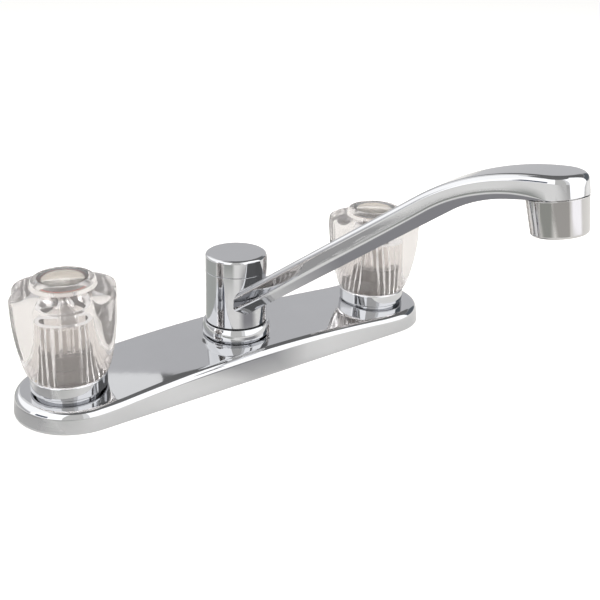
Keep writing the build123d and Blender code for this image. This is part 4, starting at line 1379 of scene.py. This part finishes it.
@dataclass
class Handle:
    """One handle: collar, valve and bonnet on the base, and the knob with its button on the stem."""

    side: Side
    spacing: float = 203.2 * MM
    collar_radius: float = 19.4 * MM
    collar_bottom: float = 12.0 * MM
    collar_height: float = 7.3 * MM
    collar_edge_radius: float = 0.9 * MM
    collar_bore_radius: float = 12.43 * MM
    knob_foot: float = 19.8 * MM
    lobe_turn: float = radians(4)
    lobe_swing: float = 0.9 * MM
    groove_softness: float = 0.3
    groove_gain: float = 1.5
    foot_radius: float = 19.5 * MM
    mean_radius: float = 26.8 * MM
    body_fullness: float = 0.65
    shoulder_rise: float = 41.2 * MM
    shoulder_fullness: float = 2.45
    shelf_radius: float = 16.6 * MM
    shelf_rise: float = 45.9 * MM
    crown_edge_radius: float = 13.9 * MM
    crown_round: float = 2.2 * MM
    crown_rise: float = 48.9 * MM
    rim_height: float = 1.2 * MM
    rim_width: float = 0.3 * MM
    hollow_top: float = 50.0 * MM
    hollow_foot_radius: float = 16.0 * MM
    hollow_top_radius: float = 11.5 * MM
    flute_depth: float = 0.9 * MM
    boss_radius: float = 6.4 * MM
    boss_foot: float = 35.0 * MM
    socket_half_side: float = 2.73 * MM
    socket_top: float = 46.3 * MM
    screw_hole_radius: float = 1.93 * MM
    screw_seat: float = 54.0 * MM
    counterbore_radius: float = 4.6 * MM
    pocket_floor: float = 66.1 * MM
    pocket_radius: float = 12.6 * MM
    button_bottom: float = 67.0 * MM
    button_radius: float = 12.57 * MM
    button_edge: float = 2.8 * MM
    button_dome: float = 1.5 * MM
    body_rings: int = 40
    shoulder_rings: int = 30
    crown_rings: int = 10
    hollow_rings: int = 4
    dome_steps: int = 24
    collar_edge_steps: int = 12
    button_steps: int = 128
    foot_crowding: float = 1.5
    groove_fade: float = 0.4

    @property
    def place(self) -> Matrix:
        """Frame of the handle, on the deck."""
        return Matrix.Translation((self.side.sign * self.spacing / 2, 0, 0))

    @property
    def body(self) -> Body:
        """Body that turns with the knob."""
        return Body.HOT_HANDLE if self.side is Side.HOT else Body.COLD_HANDLE

    def outside_rings(self) -> list[Ring]:
        """Rings of the knob's outside, from its raised crown down to its foot.

        Returns:
            The rings, in the order in which they are joined.
        """
        rings = []
        rim = self.knob_foot + self.crown_rise + self.rim_height
        for step in range(self.crown_rings):
            angle = pi / 2 * step / self.crown_rings
            radius = self.crown_edge_radius + self.crown_round * sin(angle)
            rings.append(Ring(radius, rim - self.crown_round * (1 - cos(angle))))
        for step in range(self.shoulder_rings):
            share = sin(pi / 2 * (1 - step / self.shoulder_rings))
            closing = (1 - share**self.shoulder_fullness) ** (1 / self.shoulder_fullness)
            rise = self.shoulder_rise + (self.shelf_rise - self.shoulder_rise) * share
            radius = self.shelf_radius + (self.mean_radius - self.shelf_radius) * closing
            rings.append(self.lobed_ring(radius, rise, closing, closing**self.groove_fade * self.groove_gain))
        for step in range(self.body_rings + 1):
            share = (1 - step / self.body_rings) ** self.foot_crowding
            growth = sin(pi / 2 * share)
            swell = (self.mean_radius - self.foot_radius) * growth**self.body_fullness
            rise = self.shoulder_rise * share
            rings.append(self.lobed_ring(self.foot_radius + swell, rise, growth, growth * self.groove_gain))
        return rings

    def lobed_ring(self, radius: float, rise: float, crest: float, lobes: float) -> Ring:
        """Ring whose lobes keep their crests and whose grooves are cut deeper.

        Args:
            radius: Mean radius with shallow grooves.
            rise: Height above the knob's foot.
            crest: Share of the lobe swing that the crests stand out by.
            lobes: Share of the lobe swing that the grooves are cut with.

        Returns:
            The ring.
        """
        return Ring(radius + self.lobe_swing * (crest - lobes), self.knob_foot + rise, lobes=lobes)

    def inside_rings(self) -> list[Ring]:
        """Rings from the foot, up the fluted hollow, down the boss and up to the button's pocket.

        Returns:
            The rings, in the order in which they are joined.
        """
        rim = self.knob_foot + self.crown_rise + self.rim_height
        hollow = []
        for step in range(self.hollow_rings + 1):
            share = step / self.hollow_rings
            radius = self.hollow_foot_radius + (self.hollow_top_radius - self.hollow_foot_radius) * share
            height = self.knob_foot + (self.hollow_top - self.knob_foot) * share
            hollow.append(Ring(radius, height, flutes=1.0))
        return [
            *hollow,
            Ring(self.boss_radius, self.hollow_top),
            Ring(self.boss_radius, self.boss_foot),
            Ring(self.socket_half_side, self.boss_foot, square=1.0),
            Ring(self.socket_half_side, self.socket_top, square=1.0),
            Ring(self.screw_hole_radius, self.socket_top),
            Ring(self.screw_hole_radius, self.screw_seat),
            Ring(self.counterbore_radius, self.screw_seat),
            Ring(self.counterbore_radius, self.pocket_floor),
            Ring(self.pocket_radius, self.pocket_floor),
            Ring(self.pocket_radius, rim),
            Ring(self.pocket_radius + self.rim_width, rim),
        ]

    def collar_profile(self) -> list[Point]:
        """Outline of the collar's section.

        Returns:
            Points of the outline, by radius and height.
        """
        top = self.collar_bottom + self.collar_height
        return outline([
            Corner(self.collar_bore_radius, self.collar_bottom),
            Corner(self.collar_radius, self.collar_bottom, self.collar_edge_radius, self.collar_edge_steps),
            Corner(self.collar_radius, top, self.collar_edge_radius, self.collar_edge_steps),
            Corner(self.collar_bore_radius, top),
        ])

    def button_profile(self) -> list[Point]:
        """Outline of the domed button's section.

        Returns:
            Points of the outline, by radius and height.
        """
        edge = self.button_bottom + self.button_edge
        dome_radius = (self.button_radius**2 + self.button_dome**2) / (2 * self.button_dome)
        reach = acos((dome_radius - self.button_dome) / dome_radius)
        dome = []
        for step in range(self.dome_steps + 1):
            angle = reach * (1 - step / self.dome_steps)
            height = edge + self.button_dome - dome_radius * (1 - cos(angle))
            dome.append((dome_radius * sin(angle), height))
        return [(0, self.button_bottom), (self.button_radius, self.button_bottom), *dome]

    def build(self, shop: Workshop, form: SpunFormTree) -> None:
        """Make the collar, the knob and its button, and dress the valve.

        Args:
            shop: Workshop that dresses the pieces.
            form: Tree that spins the knob.
        """
        side = self.side.label
        collar = lathe(f"{side}_collar_chrome", self.collar_profile(), place=self.place)
        shop.piece(f"{side}_collar_chrome", collar, Slot.CHROME, Body.BASE, [f"{side}_handle_collar"])
        knob = form.spin(f"{side}_knob_clear", [*self.outside_rings(), *self.inside_rings()], {
            "Lobe Turn": self.lobe_turn,
            "Lobe Swing": self.lobe_swing,
            "Groove Softness": self.groove_softness,
            "Flute Depth": self.flute_depth,
            "Material": shop.materials[Slot.CLEAR_ACRYLIC],
        }, self.place)
        shop.piece(f"{side}_knob_clear", knob, Slot.CLEAR_ACRYLIC, self.body, [f"{side}_knob"])
        button = lathe(f"{side}_button_clear", self.button_profile(), self.button_steps, self.place)
        shop.piece(f"{side}_button_clear", button, Slot.BUTTON_ACRYLIC, self.body, [f"{side}_index_button"])
        shop.dress({
            f"{side}_index_plate": Slot.INDEX_PLATE,
            f"{side}_index_ring": Slot.HOT_RING if self.side is Side.HOT else Slot.COLD_RING,
            f"{side}_handle_screw": Slot.STEEL,
            f"{side}_valve_stem": Slot.STEM_PLASTIC,
            f"{side}_stem_o_ring": Slot.BLACK_RUBBER,
            f"{side}_bonnet_nut": Slot.NICKEL,
            f"{side}_valve_body": Slot.BRASS,
            f"{side}_crossover_tube": Slot.COPPER,
            f"{side}_valve_seat": Slot.BLACK_RUBBER,
            f"{side}_seat_spring": Slot.STEEL,
        })


@dataclass
class DeckFixings:
    """Washers and winged nuts that hold the faucet from below the sink deck."""

    def build(self, shop: Workshop) -> None:
        """Dress the washers and the nuts."""
        shop.dress({"mounting_washers": Slot.STEEL, "mounting_nuts": Slot.WHITE_NYLON})


@dataclass(frozen=True)
class Card:
    """Reflection card that only gloss seen directly shows.

    Azimuths turn from the front, -Y, towards +X, in degrees.
    """

    name: str
    strength: float
    azimuths: Point
    tint: Colour = WHITE
    softness: float = 0.0

    COLUMNS = 32
    ROWS = 16

    def point(self, azimuth: float, share: float) -> Vector:
        """Point of the card.

        Args:
            azimuth: Direction of the point, in radians.
            share: How far up or out it lies, from 0 to 1.

        Returns:
            The point.
        """
        raise NotImplementedError

    def mesh(self) -> bpy.types.Mesh:
        """Grid of the card's points.

        Returns:
            The card's mesh, with its cover at each point.
        """
        first, last = self.azimuths
        points, covers = [], []
        for row in range(self.ROWS + 1):
            up = row / self.ROWS
            for column in range(self.COLUMNS + 1):
                along = column / self.COLUMNS
                points.append(self.point(radians(first + (last - first) * along), up))
                covers.append(self.cover(up) * self.cover(along))
        width = self.COLUMNS + 1
        corners = [row * width + column for row in range(self.ROWS) for column in range(self.COLUMNS)]
        mesh = bpy.data.meshes.new(self.name)
        mesh.from_pydata(points, [], [(k, k + 1, k + width + 1, k + width) for k in corners])
        mesh.attributes.new("cover", "FLOAT", "POINT").data.foreach_set("value", covers)
        return mesh

    def cover(self, share: float) -> float:
        """How much the card hides of what lies behind it, at a share of its width or height.

        Args:
            share: Place across the card, from 0 to 1.

        Returns:
            The cover, from 0 to 1.
        """
        if self.softness == 0:
            return 1.0
        return min(1.0, share / self.softness, (1 - share) / self.softness)


@dataclass(frozen=True)
class SkyCard(Card):
    """Patch of a dome around the object, between two elevations in degrees."""

    elevations: Point = (0.0, 90.0)
    distance: float = 2.0

    def point(self, azimuth: float, share: float) -> Vector:
        """Point of the dome.

        Args:
            azimuth: Direction from the object, in radians.
            share: Place up the card, from 0 to 1.

        Returns:
            The point.
        """
        low, high = self.elevations
        up = radians(low + (high - low) * share)
        flat = self.distance * cos(up)
        return Vector((flat * sin(azimuth), -flat * cos(azimuth), self.distance * sin(up)))


@dataclass(frozen=True)
class TableCard(Card):
    """Patch of the table, between two distances from the spout's axis."""

    reaches: Point = (0.3, 1.0)
    height: float = 1.0 * MM

    def point(self, azimuth: float, share: float) -> Vector:
        """Point of the table.

        Args:
            azimuth: Direction from the object, in radians.
            share: Place along the card, from 0 to 1.

        Returns:
            The point.
        """
        near, far = self.reaches
        reach = near + (far - near) * share
        return Vector((reach * sin(azimuth), -reach * cos(azimuth), self.height))


@dataclass(frozen=True)
class Lamp:
    """Soft square lamp that faces the object."""

    name: str
    place: tuple[float, float, float]
    size: float
    power: float

    def hang(self, aim: Vector) -> None:
        """Hang the lamp, turned to the point that it lights.

        Args:
            aim: The point that is lit.
        """
        data = bpy.data.lights.new(self.name, "AREA")
        data.shape = "SQUARE"
        data.size = self.size
        data.energy = self.power
        lamp = placed(self.name, data)
        lamp.location = self.place
        lamp.rotation_euler = (aim - Vector(self.place)).to_track_quat("-Z", "Y").to_euler()
        lamp.visible_glossy = False


@dataclass
class Studio:
    """Pale floor, soft light, reflection cards and the camera."""

    camera_place: tuple[float, float, float] = (-0.26378, -0.39159, 0.23037)
    camera_yaw: float = radians(34.91)
    camera_pitch: float = radians(16.99)
    image_size: float = 600.0
    focal_pixels: float = 911.31
    centre_pixel: Point = (250.04, 209.55)
    sensor: float = 36.0
    nearest: float = 0.01
    farthest: float = 50.0
    sky_strength: float = 0.55
    white_strength: float = 1.0
    floor_half: float = 6.0
    floor_colour: Colour = (0.87, 0.86, 0.835)
    floor_grains: float = 900.0
    floor_detail: float = 2.0
    floor_relief: float = 0.02 * MM
    floor_relief_strength: float = 0.1
    floor_glow: float = 0.05
    floor_lift: float = 0.42
    aim_height: float = 50.0 * MM
    lamps: tuple[Lamp, ...] = (
        Lamp("lamp_top", (0.1, 0.2, 1.7), 1.6, 14.0),
        Lamp("lamp_left", (-1.3, -0.6, 0.9), 0.9, 6.0),
        Lamp("lamp_right", (1.4, -0.5, 0.8), 0.9, 6.0),
    )
    cards: tuple[Card, ...] = (
        SkyCard("card_back", 0.63, (72, 178), (1.0, 1.0, 1.02), elevations=(0, 31)),
        SkyCard("card_back_left", 0.63, (178, 248), (1.0, 1.0, 1.02), elevations=(0, 14)),
        SkyCard("card_left_high", 1.5, (187, 250), elevations=(18, 62)),
        SkyCard("card_right_high", 0.18, (66, 156), elevations=(31, 66)),
        SkyCard("card_zenith", 0.2, (0, 360), elevations=(66, 90)),
        SkyCard("card_left", 0.14, (-102, -78), (0.75, 0.85, 1.2), elevations=(7, 24), distance=1.9),
        SkyCard("card_right", 0.16, (64, 104), (0.9, 1.0, 1.1), elevations=(4, 30), distance=1.9),
        SkyCard("card_front_left", 1.7, (-112, -52), elevations=(2, 66), distance=1.95),
        SkyCard("card_front_gap", 0.74, (-52, -16), (1.0, 0.99, 0.96), elevations=(0, 66), distance=1.95),
        SkyCard("card_front_right", 1.7, (-5, 66), elevations=(0, 66), distance=1.95),
        TableCard("card_table_left", 0.42, (-84, -38), (0.97, 1.0, 0.94), 0.2, (0.11, 0.46)),
        TableCard("card_table_front", 0.52, (-46, -2), (1.0, 0.98, 0.94), 0.1, (0.36, 0.88), 1.2 * MM),
        TableCard("card_table_arm", 0.46, (-102, -77), (1.0, 0.99, 0.98), 0.25, (0.09, 0.36)),
        TableCard("card_table_bright", 1.5, (-2, 38), (1.0, 1.0, 1.04), 0.2, (0.66, 1.3), 1.2 * MM),
        TableCard("card_table_back_left", 0.52, (-180, -104), (0.97, 1.0, 0.95), 0.1, (0.04, 0.27)),
        TableCard("card_table_back_right", 0.06, (95, 150), WHITE, 0.1, (0.13, 0.26)),
        # Dim patch under the arm: painted shadow, standing for the shade of the arm and plate on the floor
        # beneath, seen only in reflections.
        TableCard("card_table_painted_arm_shadow", 0.34, (-26, 40), (0.99, 0.98, 1.02), 0.3, (0.022, 0.19)),
    )

    def camera(self) -> None:
        """Put the camera where the photograph was taken from."""
        data = bpy.data.cameras.new("camera")
        data.sensor_width = self.sensor
        data.lens = self.focal_pixels / self.image_size * self.sensor
        data.shift_x = (self.image_size / 2 - self.centre_pixel[0]) / self.image_size
        data.shift_y = (self.centre_pixel[1] - self.image_size / 2) / self.image_size
        data.clip_start = self.nearest
        data.clip_end = self.farthest
        camera = placed("camera", data)
        camera.location = self.camera_place
        camera.rotation_euler = (pi / 2 - self.camera_pitch, 0, -self.camera_yaw)
        bpy.context.scene.camera = camera

    @staticmethod
    def seen_rays(tree: Tree) -> bpy.types.NodeSocket:
        """Socket that is 1 for the rays that show the background: camera, glossy and transmission rays.

        Args:
            tree: Tree that the socket is made in.

        Returns:
            The socket.
        """
        path = tree.node("ShaderNodeLightPath")
        seen = tree.math("MAXIMUM", path.outputs["Is Camera Ray"], path.outputs["Is Glossy Ray"])
        return tree.math("MAXIMUM", seen, path.outputs["Is Transmission Ray"])

    def world(self) -> None:
        """White background over an even soft sky."""
        world = bpy.data.worlds.new("studio")
        world.use_nodes = True
        world.node_tree.nodes.clear()
        bpy.context.scene.world = world
        tree = Tree(world.node_tree)
        soft = tree.node("ShaderNodeBackground", {"Color": (1, 1, 1, 1), "Strength": self.sky_strength})
        white = tree.node("ShaderNodeBackground", {"Color": (1, 1, 1, 1), "Strength": self.white_strength})
        mix = tree.node("ShaderNodeMixShader", {
            0: self.seen_rays(tree), 1: soft.outputs["Background"], 2: white.outputs["Background"],
        })
        tree.end("ShaderNodeOutputWorld", mix.outputs["Shader"])

    def floor(self) -> None:
        """Pale floor that keeps the object's shadow and is lifted to white where it is seen."""
        material, tree = blank_material("floor_paper")
        point = tree.node("ShaderNodeTexCoord").outputs["Object"]
        grain = tree.node("ShaderNodeTexNoise", {
            "Vector": point, "Scale": self.floor_grains, "Detail": self.floor_detail,
        })
        bump = tree.node("ShaderNodeBump", {
            "Height": grain.outputs["Fac"],
            "Strength": self.floor_relief_strength,
            "Distance": self.floor_relief,
        })
        paper = tree.node("ShaderNodeBsdfDiffuse", {
            "Color": (*self.floor_colour, 1), "Normal": bump.outputs["Normal"],
        })
        camera_ray = tree.node("ShaderNodeLightPath").outputs["Is Camera Ray"]
        gain = tree.math("MULTIPLY_ADD", camera_ray, self.floor_lift, self.floor_glow)
        lift = tree.node("ShaderNodeEmission", {"Color": (1, 1, 1, 1), "Strength": gain})
        lifted = tree.node("ShaderNodeAddShader", {0: paper.outputs["BSDF"], 1: lift.outputs["Emission"]})
        mix = tree.node("ShaderNodeMixShader", {
            0: self.seen_rays(tree), 1: paper.outputs["BSDF"], 2: lifted.outputs["Shader"],
        })
        tree.end("ShaderNodeOutputMaterial", mix.outputs["Shader"])
        half = self.floor_half
        corners = [(-half, -half, 0), (half, -half, 0), (half, half, 0), (-half, half, 0)]
        mesh = bpy.data.meshes.new("floor")
        mesh.from_pydata(corners, [], [(0, 1, 2, 3)])
        mesh.materials.append(material)
        placed("floor", mesh)

    def reflection_card(self, card: Card) -> None:
        """Set a card up around the object.

        Args:
            card: Its place, size and brightness.
        """
        material, tree = blank_material(card.name)
        glow = tree.node("ShaderNodeEmission", {"Color": (*card.tint, 1), "Strength": card.strength})
        cover = tree.node("ShaderNodeAttribute", attribute_name="cover").outputs["Fac"]
        depth = tree.node("ShaderNodeLightPath").outputs["Transmission Depth"]
        shown = tree.math("MULTIPLY", cover, tree.math("LESS_THAN", depth, 0.5))
        clear = tree.node("ShaderNodeBsdfTransparent")
        mix = tree.node("ShaderNodeMixShader", {
            0: shown, 1: clear.outputs["BSDF"], 2: glow.outputs["Emission"],
        })
        tree.end("ShaderNodeOutputMaterial", mix.outputs["Shader"])
        mesh = card.mesh()
        mesh.materials.append(material)
        piece = placed(card.name, mesh)
        piece.visible_camera = False
        piece.visible_diffuse = False
        piece.visible_transmission = False
        piece.visible_shadow = False

    def build(self) -> None:
        """Set the scene up around the object."""
        self.camera()
        self.world()
        self.floor()
        for card in self.cards:
            self.reflection_card(card)
        for lamp in self.lamps:
            lamp.hang(Vector((0, 0, self.aim_height)))
        bpy.context.scene.view_settings.view_transform = "Standard"


def main() -> None:
    """Build the faucet's pieces and the studio."""
    logging.basicConfig(level=logging.INFO, format="%(name)s: %(message)s")
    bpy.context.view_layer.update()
    shop = Workshop()
    DeckPlate().build(shop)
    SpoutBase().build(shop)
    spout = Spout()
    spout.build(shop)
    Aerator(spout.outlet).build(shop)
    form = SpunFormTree()
    for side in Side:
        Handle(side).build(shop, form)
    DeckFixings().build(shop)
    Studio().build()


if __name__ == "__main__":
    main()
